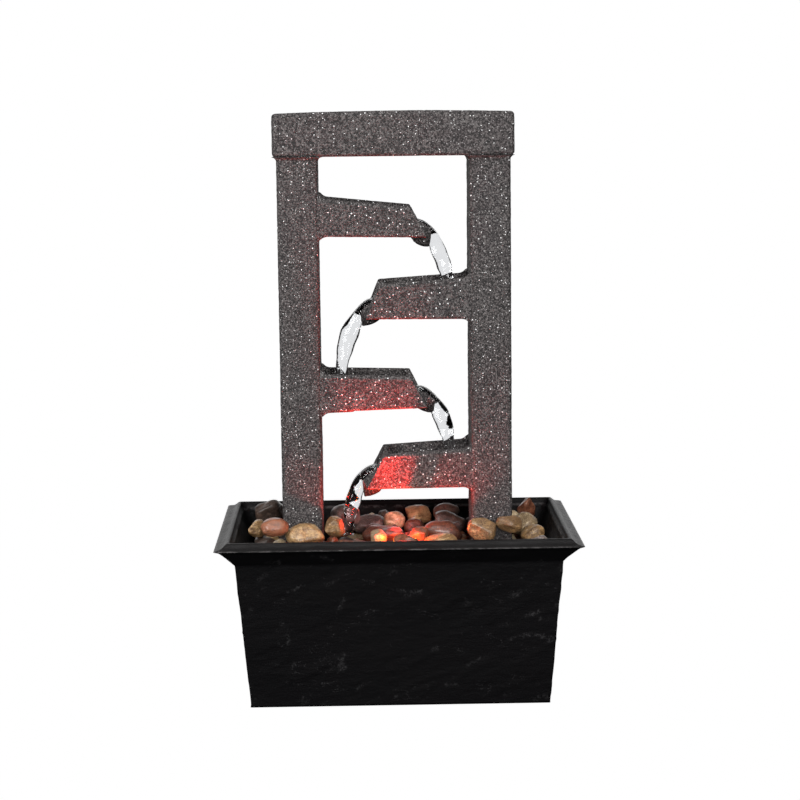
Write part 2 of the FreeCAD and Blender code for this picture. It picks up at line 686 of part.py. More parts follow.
def makePump():
    case = box("PumpCase", ("pumpFront", "pumpBack"), ("-pumpHalfDepth", "pumpHalfDepth"),
               ("pumpBase", "pumpCrown"))
    rounded = doc.addObject("Part::Fillet", "PumpCaseRound")
    rounded.Base = case
    doc.recompute()
    lengthEdges = [number for number, edge in enumerate(case.Shape.Edges, start=1)
                   if abs(edge.Vertexes[0].X - edge.Vertexes[-1].X) > 1]
    rounded.Edges = [(number, 4.0, 4.0) for number in lengthEdges]
    nozzleX = "-1 * " + postMiddle
    nozzle = rod("PumpNozzle", "barbRadius", 15, nozzleX, 0, "pumpCrown - 2")
    collar = rod("PumpNozzleCollar", "barbRadius + 1.5", "tubeBottom - pumpCrown + 1", nozzleX, 0,
                 "pumpCrown - 1")
    chamber = axial("PumpVolute", "voluteRadius", "pumpFront", "voluteBack")
    well = axial("PumpWell", "wellRadius", "voluteBack", "wellEnd")
    bushSeat = axial("PumpBushSeat", "bushRadius", "wellEnd", "wellEnd + bushLength")
    nozzleBore = rod("PumpNozzleBore", "elbowBore", "pumpCrown - pumpAxisZ + 14", nozzleX, 0, "pumpAxisZ")
    room = box("PumpMotorRoom", ("voluteBack + 2.5", "pumpBack - 2.5"), ("-13.5", "13.5"), ("13", "35"))
    wellCase = axial("PumpWellCase", "wellRadius + wellWall", "voluteBack",
                     "wellEnd + bushLength + wellWall")
    motorRoom = cut("PumpMotorSpace", room, wellCase)
    doorway = box("PumpDoorway", ("pumpBack - 2.5", "pumpBack"), ("-14", "14"), ("12.5", "35.5"))
    cupHoles = []
    for x in ("pumpFront + 7", "pumpBack - 8"):
        for side in ("-1", "1"):
            cupHoles.append(rod("PumpCupHole", 2.1, 1.6, x, side + " * 10", "pumpBase"))
    body = join("PumpBody", rounded, nozzle, collar)
    keep("pump_housing", cut("PumpHousing", body, chamber, well, bushSeat, nozzleBore, motorRoom, doorway,
                             *cupHoles))

    # the back cover closes the motor room and carries the lead's boss
    door = box("BackDoor", ("pumpBack - 2.4", "pumpBack"), ("-13.8", "13.8"), ("12.7", "35.3"))
    boss = axial("BackBoss", 3, "pumpBack", "pumpBack + 3")
    leadHole = axial("BackLeadHole", 1.7, "pumpBack - 1.2", "pumpBack + 3")
    keep("pump_back_cover", cut("PumpBackCover", join("BackPlate", door, boss), leadHole))

    # motor: a laminated fork round the well, with its coil on the bridge behind
    prongs = [box("CoreProng", ("voluteBack + 4", "-11.5"), sides, ("17", "31"))
              for sides in (("-13", "-8.5"), ("8.5", "13"))]
    bridge = box("CoreBridge", ("-16.5", "-11.5"), ("-13", "13"), ("17", "31"))
    keep("stator_core", join("StatorCore", bridge, *prongs))
    winding = box("CoilOuter", ("-18", "-10"), ("-7.5", "7.5"), ("14", "34"))
    passage = box("CoilPassage", ("-16.6", "-11.4"), ("-7.5", "7.5"), ("16.9", "31.1"))
    keep("stator_coil", cut("StatorCoil", winding, passage))


def makeRotor():
    magnet = axial("RotorMagnet", "magnetRadius", "voluteBack + 0.6", "wellEnd - 1.2")
    hub = axial("RotorHub", 3.5, "pumpFront + 2.2", "voluteBack + 0.6")
    disc = axial("RotorDisc", "impellerRadius", "voluteBack - 1.4", "voluteBack - 0.4")
    vanes = []
    vaneCount = 5
    for index in range(vaneCount):
        vane = box("RotorVane", ("pumpFront + 2.2", "voluteBack - 1.4"), ("0", "impellerRadius"),
                   ("-0.6", "0.6"))
        turn = Rotation(Vector(1, 0, 0), 360 * index / vaneCount)
        angle = math.radians(360 * index / vaneCount)
        place(vane, "pumpFront + 2.2", "0.6 * %.6f" % math.sin(angle),
              "pumpAxisZ - 0.6 * %.6f" % math.cos(angle), turn)
        vanes.append(vane)
    bore = axial("RotorBore", "shaftRadius + shaftClearance", "pumpFront", "wellEnd")
    keep("impeller", cut("Impeller", join("RotorBody", magnet, hub, disc, *vanes), bore))
    keep("impeller_shaft", axial("ImpellerShaft", "shaftRadius", "pumpFront - coverThickness + 0.4",
                                 "wellEnd + bushLength - 0.2"))
    rings = []
    for start in ("pumpFront - coverThickness", "wellEnd"):
        end = "(%s) + bushLength" % start
        ring = cut("Bush", axial("BushOuter", "bushRadius - 0.02", start, end),
                   axial("BushBore", "shaftRadius + 0.02", start, end))
        rings.append(ring)
    keep("rotor_bushes", group("RotorBushes", rings))


def makeIntake():
    # the volute's front plate: a ring with three arms that hold the front bush
    back = "pumpFront"
    front = "pumpFront - coverThickness"
    plate = box("CoverPlate", (front, back), ("-14", "14"), ("12", "36"))
    inlet = axial("CoverInlet", 8, front, back)
    hub = axial("CoverHub", "bushRadius + 1.4", front, back)
    arms = []
    for index in range(3):
        angle = 120 * index
        arm = box("CoverArm", (front, back), ("0", "9"), ("-1", "1"))
        place(arm, front, "%.6f" % math.sin(math.radians(angle)),
              "pumpAxisZ - %.6f" % math.cos(math.radians(angle)), Rotation(Vector(1, 0, 0), angle))
        arms.append(arm)
    seat = axial("CoverSeat", "bushRadius", front, back)
    spider = join("CoverSpider", cut("CoverRing", plate, inlet), hub, *arms)
    keep("impeller_cover", cut("ImpellerCover", spider, seat))

    # the strainer pushed over the front, with upright slots in its face and sides
    shell = box("IntakeShell", ("intakeFront", "pumpFront - coverThickness - 0.3"), ("-14", "14"),
                ("12", "36"))
    inside = box("IntakeInside", ("intakeFront + 1.6", "pumpFront"), ("-12.4", "12.4"), ("13.6", "34.4"))
    stemHole = rod("IntakeStemHole", "dialStem + 0.1", 3, "intakeFront - 0.5", 0, "pumpAxisZ", lengthwise)
    tools = [inside, stemHole]
    for step in (-11, -9.2, 9.2, 11):
        tools.append(box("IntakeSlot", ("intakeFront - 1", "intakeFront + 3"),
                         ("%s - 0.5" % step, "%s + 0.5" % step), ("16", "32")))
    for step in range(3):
        start = "intakeFront + 2.4 + %s" % (1.9 * step)
        tools.append(box("IntakeSideSlot", (start, start + " + 0.9"), ("-15", "15"), ("16", "32")))
    keep("intake_cover", cut("IntakeCover", shell, *tools))

    # the flow dial turns on the face: a disc with a finger bar, and a stem with a washer behind
    disc = axial("DialDisc", "dialRadius", "intakeFront - 2", "intakeFront - 0.3")
    bar = box("DialBar", ("intakeFront - 4.5", "intakeFront - 2"), ("-1", "1"),
              ("pumpAxisZ - dialRadius + 1", "pumpAxisZ + dialRadius - 1"))
    stem = axial("DialStem", "dialStem", "intakeFront - 0.3", "intakeFront + 2")
    washer = axial("DialWasher", "dialStem + 1", "intakeFront + 1.9", "intakeFront + 2.7")
    keep("flow_dial", join("FlowDial", disc, bar, stem, washer))


def makeCups():
    cups = []
    cupBase = "footPeek + basinWall"
    for x in ("pumpFront + 7", "pumpBack - 8"):
        for side in ("-1", "1"):
            y = side + " * 10"
            cone = doc.addObject("Part::Cone", "Cup")
            bind(cone, Radius1=5.5, Radius2=2.6, Height="pumpBase - (%s)" % cupBase)
            place(cone, x, y, cupBase)
            neck = rod("CupNeck", 2, 1.4, x, y, "pumpBase")
            cups.append(join("SuctionCup", cone, neck))
    keep("suction_cups", group("SuctionCups", cups))


# ---------------------------------------------------------------- light
def makeLight():
    def disc(name, radius, low, high):
        return rod(name, radius, "(%s) - (%s)" % (high, low), "lightX", "lightY", low)

    inner = "lightRadius - lightWall"
    cup = cut("LightCup", disc("LightOuter", "lightRadius", "deckTop", "lightTop"),
              disc("LightInner", inner, "deckTop + 2", "lightTop"),
              disc("LightLeadHole", 1.3, "deckTop", "deckTop + 2"))
    keep("led_housing", cup)
    board = "deckTop + 4.5"
    keep("led_board", disc("LedBoard", inner + " - 0.1", board, board + " + 1.2"))
    chips = []
    for index in range(3):
        angle = math.radians(90 + 120 * index)
        x, y = "lightX + %.4f" % (4 * math.cos(angle)), "lightY + %.4f" % (4 * math.sin(angle))
        half = "1.4"
        chips.append(box("Chip", ("%s - %s" % (x, half), "%s + %s" % (x, half)),
                         ("%s - %s" % (y, half), "%s + %s" % (y, half)),
                         (board + " + 1.2", board + " + 2.8")))
    keep("led_chips", group("LedChips", chips))
    plate = disc("LensPlate", inner + " - 0.1", "lightTop - 2", "lightTop")
    ball = doc.addObject("Part::Sphere", "LensBall")
    ballRadius = "((lightRadius - lightWall - 1) ^ 2 + lensDome ^ 2) / (2 * lensDome)"
    bind(ball, Radius=ballRadius)
    place(ball, "lightX", "lightY", "lightTop + lensDome - " + ballRadius)
    above = disc("LensAbove", "lightRadius", "lightTop - 0.2", "lightTop + 5")
    dome = doc.addObject("Part::Common", "LensDome")
    dome.Base = ball
    dome.Tool = above
    keep("led_lens", join("LedLens", plate, dome))


def makeLead():
    """The light's lead: straight runs joined by arcs, from the light's base to the pump's boss."""
    radius = 1.1
    route = [
        Vector(value("lightX"), value("lightY"), value("deckTop") + 1.5),
        Vector(3.6, -24.4, 46),
        Vector(13.5, -16.5, 31),
        Vector(11, -1.5, value("pumpAxisZ") + 0.3),
        Vector(value("pumpBack") + 1, 0, value("pumpAxisZ")),
    ]
    edges = []
    here = route[0]
    bends = []
    for before, corner, after in zip(route, route[1:], route[2:]):
        into, out = corner - before, after - corner
        shorter = min(into.Length, out.Length)
        setback = 0.45 * shorter
        bends.append(setback / math.tan(into.getAngle(out) / 2))
        into.normalize()
        out.normalize()
        arcStart, arcEnd = corner - into * setback, corner + out * setback
        towards = out - into
        towards.normalize()
        centre = corner + towards * math.hypot(bends[-1], setback)
        arcMiddle = centre - towards * bends[-1]
        edges.append(Part.LineSegment(here, arcStart).toShape())
        edges.append(Part.Arc(arcStart, arcMiddle, arcEnd).toShape())
        here = arcEnd
    edges.append(Part.LineSegment(here, route[-1]).toShape())
    path = Part.Wire(edges)
    ring = Part.Wire(Part.makeCircle(radius, route[0], route[1] - route[0]))
    lead = doc.addObject("Part::Feature", "LedLead")
    lead.Shape = path.makePipeShell([ring], True, True)
    expected = math.pi * radius ** 2 * path.Length
    print("lead: bend radii %s mm, volume %.1f of %.1f mm3"
          % ([round(bend, 1) for bend in bends], lead.Shape.Volume, expected))
    keep("led_lead", lead)


# ---------------------------------------------------------------- pebbles
class PebbleBed:
    """Stones laid one after another, each lowered until it rests just clear of what is below it.

    The bed is a grid of heights over the deck; a stone is an ellipsoid that is turned and leans a little.
    """

    step = 1.0
    swell = 0.35
    blocked = 500.0

    def __init__(self):
        self.halfX = value("wallHalfWidth - basinWall") - 1
        self.halfY = value("wallHalfDepth - basinWall") - 1.6
        self.columns = int(2 * self.halfX / self.step) + 1
        self.rows = int(2 * self.halfY / self.step) + 1
        self.heights = [[value("deckTop")] * self.columns for row in range(self.rows)]
        self.kept = {}

    def cells(self, west, east, south, north):
        """Grid places inside a rectangle, with None for any that falls off the bed."""
        firstColumn = math.ceil((west + self.halfX) / self.step)
        lastColumn = math.floor((east + self.halfX) / self.step)
        firstRow = math.ceil((south + self.halfY) / self.step)
        lastRow = math.floor((north + self.halfY) / self.step)
        for row in range(firstRow, lastRow + 1):
            for column in range(firstColumn, lastColumn + 1):
                inside = 0 <= row < self.rows and 0 <= column < self.columns
                x, y = column * self.step - self.halfX, row * self.step - self.halfY
                yield x, y, (row, column) if inside else None

    def raiseTo(self, height, west, east, south, north, belongs=lambda x, y: True):
        """Sets the height under a fixed thing; returns nothing."""
        for x, y, cell in self.cells(west, east, south, north):
            if cell and belongs(x, y):
                self.heights[cell[0]][cell[1]] = max(self.heights[cell[0]][cell[1]], height)

    def clearTo(self, height, west, east, south, north):
        """Sets the height of a rectangle whatever it was."""
        for x, y, cell in self.cells(west, east, south, north):
            if cell:
                self.heights[cell[0]][cell[1]] = height

    def footprint(self, stone, swell):
        """Yields each place under a stone with its lower and upper surface about its centre."""
        turn = Rotation(Vector(0, 0, 1), stone["turn"]) * Rotation(Vector(0, 1, 0), stone["lean"])
        radii = [size / 2 + swell for size in stone["size"]]
        axes = [turn.multVec(axis) for axis in (Vector(1, 0, 0), Vector(0, 1, 0), Vector(0, 0, 1))]

        def entry(i, j):
            return sum(axis[i] * axis[j] / radius ** 2 for axis, radius in zip(axes, radii))

        xx, xy, yy = entry(0, 0), entry(0, 1), entry(1, 1)
        xz, yz, zz = entry(0, 2), entry(1, 2), entry(2, 2)
        reach = max(radii)
        centreX, centreY = stone["at"]
        for x, y, cell in self.cells(centreX - reach, centreX + reach, centreY - reach, centreY + reach):
            u, v = x - centreX, y - centreY
            half = xz * u + yz * v
            inside = half ** 2 - zz * (xx * u * u + 2 * xy * u * v + yy * v * v - 1)
            if inside > 0:
                root = math.sqrt(inside)
                yield cell, (-half - root) / zz, (-half + root) / zz

    def restHeight(self, stone):
        """Height of a stone's centre when it rests, or None where a wall or post is in its way."""
        height = 0.0
        for cell, lower, upper in self.footprint(stone, self.swell):
            if cell is None:
                return None
            below = self.heights[cell[0]][cell[1]]
            if below >= self.blocked:
                return None
            height = max(height, below - lower)
        return height

    def lay(self, stone, height):
        """Adds a stone at a height and raises the bed under it."""
        for cell, lower, upper in self.footprint(stone, self.swell):
            top = height + upper
            self.heights[cell[0]][cell[1]] = max(self.heights[cell[0]][cell[1]], top)
        radii = [size / 2 for size in stone["size"]]
        matrix = FreeCAD.Matrix()
        matrix.scale(Vector(*radii))
        solid = Part.makeSphere(1.0).transformGeometry(matrix)
        turn = Rotation(Vector(0, 0, 1), stone["turn"]) * Rotation(Vector(0, 1, 0), stone["lean"])
        solid.Placement = Placement(Vector(stone["at"][0], stone["at"][1], height), turn)
        self.kept.setdefault(stone["node"], []).append(solid)


def makePebbles():
    bed = PebbleBed()
    chance = random.Random(7)
    kinds = ("tan", "cream", "brown", "red", "grey")
    # posts, light, lid and the lead's outlet stand in the bed
    margin = 0.6
    for side in (-1, 1):
        west, east = sorted((side * value("postInnerX"), side * value("postOuterX")))
        halfDepth = value("postDepth") / 2
        bed.raiseTo(bed.blocked, west - margin, east + margin, -halfDepth - margin, halfDepth + margin)
    lightX, lightY, lightRadius = value("lightX"), value("lightY"), value("lightRadius") + margin
    bed.raiseTo(value("lightTop + lensDome"), lightX - lightRadius, lightX + lightRadius, lightY - lightRadius,
                lightY + lightRadius, lambda x, y: math.hypot(x - lightX, y - lightY) < lightRadius)
    lidHalfX = value("hatchWidth / 2 + lidOverlap") + margin
    lidHalfY, lidY = value("hatchDepth / 2 + lidOverlap") + margin, value("hatchY")
    bed.raiseTo(bed.blocked, -lidHalfX, lidHalfX, lidY - lidHalfY, lidY + lidHalfY)
    outletX, outletRadius = value("grommetX"), value("grommetFlange") + margin
    bed.raiseTo(bed.blocked, outletX - outletRadius, outletX + outletRadius, bed.halfY - 5, bed.halfY)

    def scatter(tries, prefix, area, longest, thickest, ceiling):
        """Lays random stones in an area, each at the lowest of a few places, under a ceiling."""
        west, east, south, north = area
        for attempt in range(tries):
            length = chance.uniform(0.6, 1.0) * longest
            size = (length, length * chance.uniform(0.68, 0.92), thickest * chance.uniform(0.7, 1.0))
            best = None
            for place in range(8):
                stone = {
                    "at": (chance.uniform(west, east), chance.uniform(south, north)),
                    "size": size,
                    "turn": chance.uniform(0, 180),
                    "lean": chance.uniform(-12, 12),
                    "node": prefix + chance.choice(kinds),
                }
                height = bed.restHeight(stone)
                if height is not None and (best is None or height < best[0]):
                    best = (height, stone)
            if best and best[0] + size[2] / 2 < ceiling:
                bed.lay(best[1], best[0])

    def layHeroes(prefix, stones):
        """Lays the stones that are placed by hand."""
        for kind, x, y, length, width, thick, turn, lean in stones:
            stone = {"at": (x, y), "size": (length, width, thick), "turn": turn, "lean": lean,
                     "node": prefix + kind}
            height = bed.restHeight(stone)
            if height is None:
                print("no room for the %s stone at %s, %s" % (kind, x, y))
            else:
                bed.lay(stone, height)

    halfX, halfY = bed.halfX, bed.halfY
    whole = (-halfX, halfX, -halfY, halfY)
    scatter(150, "pebbles_", whole, 19, 9.5, 74)
    scatter(90, "pebbles_", whole, 12, 7, 75)
    # the falling water keeps a hole open over the first layer
    streamX, streamRadius = value("stream4ToX") + 1, value("streamBroad") + 1.4
    bed.raiseTo(bed.blocked, streamX - streamRadius, streamX + streamRadius, -streamRadius, streamRadius)
    # kind, x, y, length, width, thickness, turn, lean
    layHeroes("pebbles_", [
        ("grey", -66, 31, 14, 12, 7, 0, 0), ("brown", -66, 30, 17, 14, 13, 70, 6),
        ("tan", -70, 12, 17, 8, 10, 85, 6), ("tan", -64, -2, 12, 10, 9, 30, 8),
        ("brown", -66, -17, 13, 11, 10, 80, -8), ("tan", -70, -20, 12, 8, 8, 70, 0),
        ("cream", -58, -25, 9, 8, 9, 0, 0), ("tan", -46.5, -27, 19, 13, 12, 4, 3),
        ("tan", -32, -25, 12, 10, 10, 60, -6), ("grey", -20, -31, 16, 11, 8, 12, 5),
        ("cream", -10, -24, 10, 7, 8, -60, 24), ("red", -8, -1, 19, 11, 11, 8, -6),
        ("brown", -19, -19, 11, 8, 7, 40, 4), ("red", 3, -36.5, 13, 8, 8, -10, 0),
        ("tan", 21, -24, 17, 12, 9, 15, -8), ("red", 23, -5, 20, 15, 14, 5, 6),
        ("grey", 43, -27, 13, 11, 7, 0, 0), ("tan", 42, -26, 15, 12, 11, -30, 14),
        ("tan", 55, -28, 13, 11, 9, 0, 8), ("brown", 7, 1, 10, 8, 7, 50, 6),
        ("red", -61, -31, 14, 11, 9, 20, 0), ("red", 64, 12, 10, 9, 8, 0, 6),
        ("cream", 65, 2, 15, 13, 12, 70, 8), ("tan", 68, -14, 12, 10, 11, 0, -10),
        ("grey", 69.5, 23, 14, 8, 9, 85, 0), ("cream", 60.5, 38, 11, 9, 11, 30, 0),
        ("red", 69, 38, 12, 9, 12, 80, 0),
    ])
    # nothing stands before the light
    bed.raiseTo(bed.blocked, -15, 16, -halfY, -33)
    scatter(160, "pebbles_", whole, 16, 9.5, 85)
    scatter(80, "pebbles_", whole, 11, 7, 79)
    # stones on the lid go last, so that nothing lies over them when it lifts
    bed.clearTo(value("deckTop + lidGap + lidThickness"), -lidHalfX + margin, lidHalfX - margin,
                lidY - lidHalfY + margin, min(lidY + lidHalfY - margin, halfY))
    lidArea = (-lidHalfX, lidHalfX, lidY - lidHalfY, halfY)
    scatter(60, "lid_pebbles_", lidArea, 16, 8, 75.5)
    scatter(40, "lid_pebbles_", lidArea, 11, 7, 76)
    layHeroes("lid_pebbles_", [
        ("grey", -14, 26, 18, 14, 10, 5, 3), ("cream", -1, 21, 11, 10, 10, 0, 5),
        ("red", 10, 19, 15, 10, 9, 65, 18), ("brown", 27, 25, 17, 13, 11, 20, 6),
        ("brown", 27, 39, 14, 10, 11, 0, 0), ("tan", 11, 37, 15, 12, 11, 30, -4),
        ("grey", -25, 19, 17, 12, 10, 10, 0), ("tan", -24, 37, 14, 10, 9, 40, 0),
        ("brown", -6, 38, 12, 9, 9, 80, 0),
    ])
    scatter(60, "lid_pebbles_", lidArea, 12, 8, 83)
    for node, solids in sorted(bed.kept.items()):
        stones = doc.addObject("Part::Feature", "Stones_" + node)
        stones.Shape = Part.makeCompound(solids)
        keep(node, stones)
        print(node, len(solids), "stones")


# ---------------------------------------------------------------- the whole fountain
makeBasin()
makeFeet()
makeGrommet()
makeDeck()
makeLid()
makePost("left_post", -1)
makePost("right_post", 1)
makeLintel()
for number, side in ((1, 1), (2, -1), (3, 1), (4, -1)):
    makeTrough(number, side)
    makeStream(number)
makeScrews()
makeTubeAndElbow()
makePump()
makeRotor()
makeIntake()
makeCups()
makeLight()
makeLead()
makePebbles()

doc.recompute()
for thing in doc.Objects:
    if "Invalid" in thing.State or "Error" in thing.State:
        raise RuntimeError("%s did not compute: %s" % (thing.Name, thing.State))
for part in subParts:
    shape = part.Shape
    if shape.isNull() or not shape.isValid() or not shape.Solids:
        raise RuntimeError("%s has no sound shape" % part.Label)
    shape.exportStep("parts/%s.step" % part.Label)
    print("%-22s %3d solids %10.1f mm3" % (part.Label, len(shape.Solids), shape.Volume))
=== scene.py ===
import math

import bmesh
import bpy
import numpy as np
from mathutils import Matrix, Vector


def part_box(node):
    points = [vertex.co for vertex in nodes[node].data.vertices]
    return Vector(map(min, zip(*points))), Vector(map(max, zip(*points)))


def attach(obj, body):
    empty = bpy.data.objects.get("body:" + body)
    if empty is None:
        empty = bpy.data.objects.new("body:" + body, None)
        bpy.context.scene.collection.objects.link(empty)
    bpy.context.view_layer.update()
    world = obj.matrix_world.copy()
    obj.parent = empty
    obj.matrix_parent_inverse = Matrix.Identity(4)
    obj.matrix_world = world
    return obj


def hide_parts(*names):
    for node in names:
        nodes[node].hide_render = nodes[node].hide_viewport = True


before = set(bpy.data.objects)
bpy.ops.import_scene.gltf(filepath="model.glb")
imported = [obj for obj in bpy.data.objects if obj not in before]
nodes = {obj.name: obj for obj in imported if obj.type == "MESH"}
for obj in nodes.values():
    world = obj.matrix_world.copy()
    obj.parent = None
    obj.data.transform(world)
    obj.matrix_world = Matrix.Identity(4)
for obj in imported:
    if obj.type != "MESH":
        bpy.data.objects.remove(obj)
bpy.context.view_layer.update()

# Tabletop water fountain: a black slate-look basin, a speckled tower with four pouring troughs,
# a bed of wet river pebbles round a warm light, and the water falling from lip to lip.
# Lengths are worked out in millimetres and written to the meshes in metres.

mm = 0.001


# Shapes: random fields, grids of points and finished pieces.

def cloud(points, size, seed=0):
    # smooth random field, -1 to 1: the eight lattice values round a point, blended by its eased place between them
    place = np.asarray(points, float) / size + 57.3 * seed
    cell = np.floor(place).astype(np.int64)
    part = place - cell
    part = part * part * (3 - 2 * part)
    total = np.zeros(place.shape[:-1])
    for corner in range(8):
        step = np.array([corner & 1, corner >> 1 & 1, corner >> 2 & 1])
        near = cell + step
        mixed = near[..., 0] * 73856093 ^ near[..., 1] * 19349663 ^ near[..., 2] * 83492791 ^ seed * 40503
        mixed = (mixed ^ mixed >> 13) * 1274126177
        chance = ((mixed ^ mixed >> 16) & 0xffff) / 65535
        total += chance * np.prod(np.where(step, part, 1 - part), axis=-1)
    return total * 2 - 1


def layered(points, size, seed=0, layers=3):
    # sum of random fields, each half as large and half as strong as the one before
    total = 0
    for layer in range(layers):
        total = total + cloud(points, size / 2 ** layer, seed + layer) / 2 ** layer
    return total / (2 - 2 ** (1 - layers))


def gridFaces(rows, columns):
    # quads between neighbouring rows, turning with the columns so that rows that climb face outwards
    down = np.arange(rows - 1)[:, None] * columns
    across = np.arange(columns)[None, :]
    after = (across + 1) % columns
    up = down + columns
    return np.stack([down + across, down + after, up + after, up + across], -1).reshape(-1, 4)


def capFaces(first, columns, pole, flip):
    # a fan of triangles between one row and its pole
    here = first + np.arange(columns)
    after = first + (np.arange(columns) + 1) % columns
    order = [after, here] if flip else [here, after]
    return np.stack([*order, np.full(columns, pole)], -1)


def skinPoints(rows):
    # the rows' points one after the other, then the middle of the first row and of the last, as poles
    return np.concatenate([rows.reshape(-1, 3), rows[:1].mean(1), rows[-1:].mean(1)])


def skinFaces(count, columns, first=0):
    # the faces of a closed skin whose points are numbered from first
    poles = first + count * columns
    faces = (gridFaces(count, columns) + first).tolist()
    faces += capFaces(first, columns, poles, True).tolist()
    faces += capFaces(poles - columns, columns, poles + 1, False).tolist()
    return faces


def closedSkin(name, rows):
    # rows of points, each a closed ring, closed by a pole at either end
    return newPiece(name, skinPoints(rows), skinFaces(*rows.shape[:2]))


def addToScene(name, data):
    made = bpy.data.objects.new(name, data)
    bpy.context.scene.collection.objects.link(made)
    return made


def newPiece(name, points, faces):
    mesh = bpy.data.meshes.new(name)
    mesh.from_pydata((np.asarray(points) * mm).tolist(), [], faces)
    mesh.validate()
    mesh.shade_smooth()
    return addToScene(name, mesh)


def faceDirections(rows):
    # outward direction at each point of a ring grid: the cross product of its two neighbour differences
    around = np.roll(rows, -1, 1) - np.roll(rows, 1, 1)
    along = np.gradient(rows, axis=0)
    out = np.cross(around, along)
    return out / np.maximum(np.linalg.norm(out, axis=-1, keepdims=True), 1e-9)


def settle(piece, body, slot, paint, *replaced):
    # a finished piece rides its body, takes its finish and stands for its CAD nodes
    piece.data.materials.clear()
    piece.data.materials.append(paint)
    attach(piece, body)
    if replaced:
        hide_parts(*replaced)
    return piece


def addValues(piece, name, values):
    # one number or one vector for each point, for the paint to read
    values = np.asarray(values, np.float32)
    kind = "FLOAT" if values.ndim == 1 else "FLOAT_VECTOR"
    made = piece.data.attributes.new(name, kind, "POINT")
    made.data.foreach_set("value" if values.ndim == 1 else "vector", values.ravel())


# Paint: node materials written as arithmetic.

def tone(red, green, blue):
    # a display colour, 0 to 255, as linear light
    def linear(part):
        part = part / 255
        return part / 12.92 if part <= 0.04045 else ((part + 0.055) / 1.055) ** 2.4
    return (linear(red), linear(green), linear(blue), 1.0)


class Wire:
    # one output of a node; arithmetic on it adds Math nodes
    def __init__(self, paint, socket):
        self.paint = paint
        self.socket = socket

    def maths(self, operation, *values):
        return self.paint.node("ShaderNodeMath", {"operation": operation}, dict(enumerate(values)))

    def __add__(self, other):
        return self.maths("ADD", self, other)

    def __sub__(self, other):
        return self.maths("SUBTRACT", self, other)

    def __rsub__(self, other):
        return self.maths("SUBTRACT", other, self)

    def __mul__(self, other):
        return self.maths("MULTIPLY", self, other)

    def __abs__(self):
        return self.maths("ABSOLUTE", self)

    def between(self, low, high):
        # eased step from 0 at low to 1 at high
        settings = {"interpolation_type": "SMOOTHSTEP"}
        values = {"Value": self, "From Min": low, "From Max": high}
        return self.paint.node("ShaderNodeMapRange", settings, values)

    __radd__ = __add__
    __rmul__ = __mul__


def pickSocket(sockets, key):
    if isinstance(key, int):
        return sockets[key]
    for socket in sockets:
        if socket.identifier == key:
            return socket
    return sockets[key]


class Paint:
    # the nodes of one material, or of the world
    def __init__(self, name, tree=None):
        if tree is None:
            self.material = bpy.data.materials.new(name)
            self.material.use_nodes = True
            tree = self.material.node_tree
        self.tree = tree
        tree.nodes.clear()

    def node(self, kind, settings=None, values=None, out=0):
        made = self.tree.nodes.new(kind)
        for key, setting in (settings or {}).items():
            setattr(made, key, setting)
        for key, value in (values or {}).items():
            socket = pickSocket(made.inputs, key)
            if isinstance(value, Wire):
                self.tree.links.new(value.socket, socket)
            else:
                socket.default_value = value
        return Wire(self, pickSocket(made.outputs, out))

    def place(self, stretch=(1, 1, 1), turn=(0, 0, 0), attribute=None):
        # where a point is, in millimetres, stretched and turned
        if attribute:
            start = self.node("ShaderNodeAttribute", {"attribute_name": attribute}, out="Vector")
            size = 1.0
        else:
            start = self.node("ShaderNodeTexCoord", out="Object")
            size = 1 / mm
        scale = [size * part for part in stretch]
        return self.node("ShaderNodeMapping", None, {"Vector": start, "Rotation": turn, "Scale": scale})

    def given(self, name):
        # the number that a point carries under this name
        return self.node("ShaderNodeAttribute", {"attribute_name": name}, out="Fac")

    def noise(self, place, size, detail=3.0, rough=0.55, bend=0.0):
        values = {"Vector": place, "Scale": 1 / size, "Detail": detail, "Roughness": rough, "Distortion": bend}
        return self.node("ShaderNodeTexNoise", None, values, "Fac")

    def cells(self, place, size):
        # distance to the nearest point of a random lattice
        values = {"Vector": place, "Scale": 1 / size, "Randomness": 1.0}
        return self.node("ShaderNodeTexVoronoi", {"feature": "F1"}, values, "Distance")

    def mix(self, share, first, second):
        settings = {"data_type": "RGBA", "blend_type": "MIX", "clamp_factor": True}
        values = {"Factor_Float": share, "A_Color": first, "B_Color": second}
        return self.node("ShaderNodeMix", settings, values, "Result_Color")

    def bump(self, height, depth):
        # depth is how far the relief stands, in millimetres
        return self.node("ShaderNodeBump", None, {"Height": height, "Strength": 1.0, "Distance": depth * mm})

    def surface(self, **values):
        # one shader; an underscore in a socket's name stands for a space
        named = {key.replace("_", " "): value for key, value in values.items()}
        shader = self.node("ShaderNodeBsdfPrincipled", None, named)
        return self.finish(shader)

    def finish(self, shader):
        output = self.tree.nodes.new("ShaderNodeOutputMaterial")
        self.tree.links.new(shader.socket, output.inputs["Surface"])
        return self.material


# Camera, floor and light.

camera = {
    "lens": 95.44,
    "at": (-18.30, -1060.15, 289.22),
    "pitch": 0.13354,  # down, radians
    "yaw": 0.01935,
    "roll": 0.01139,
}


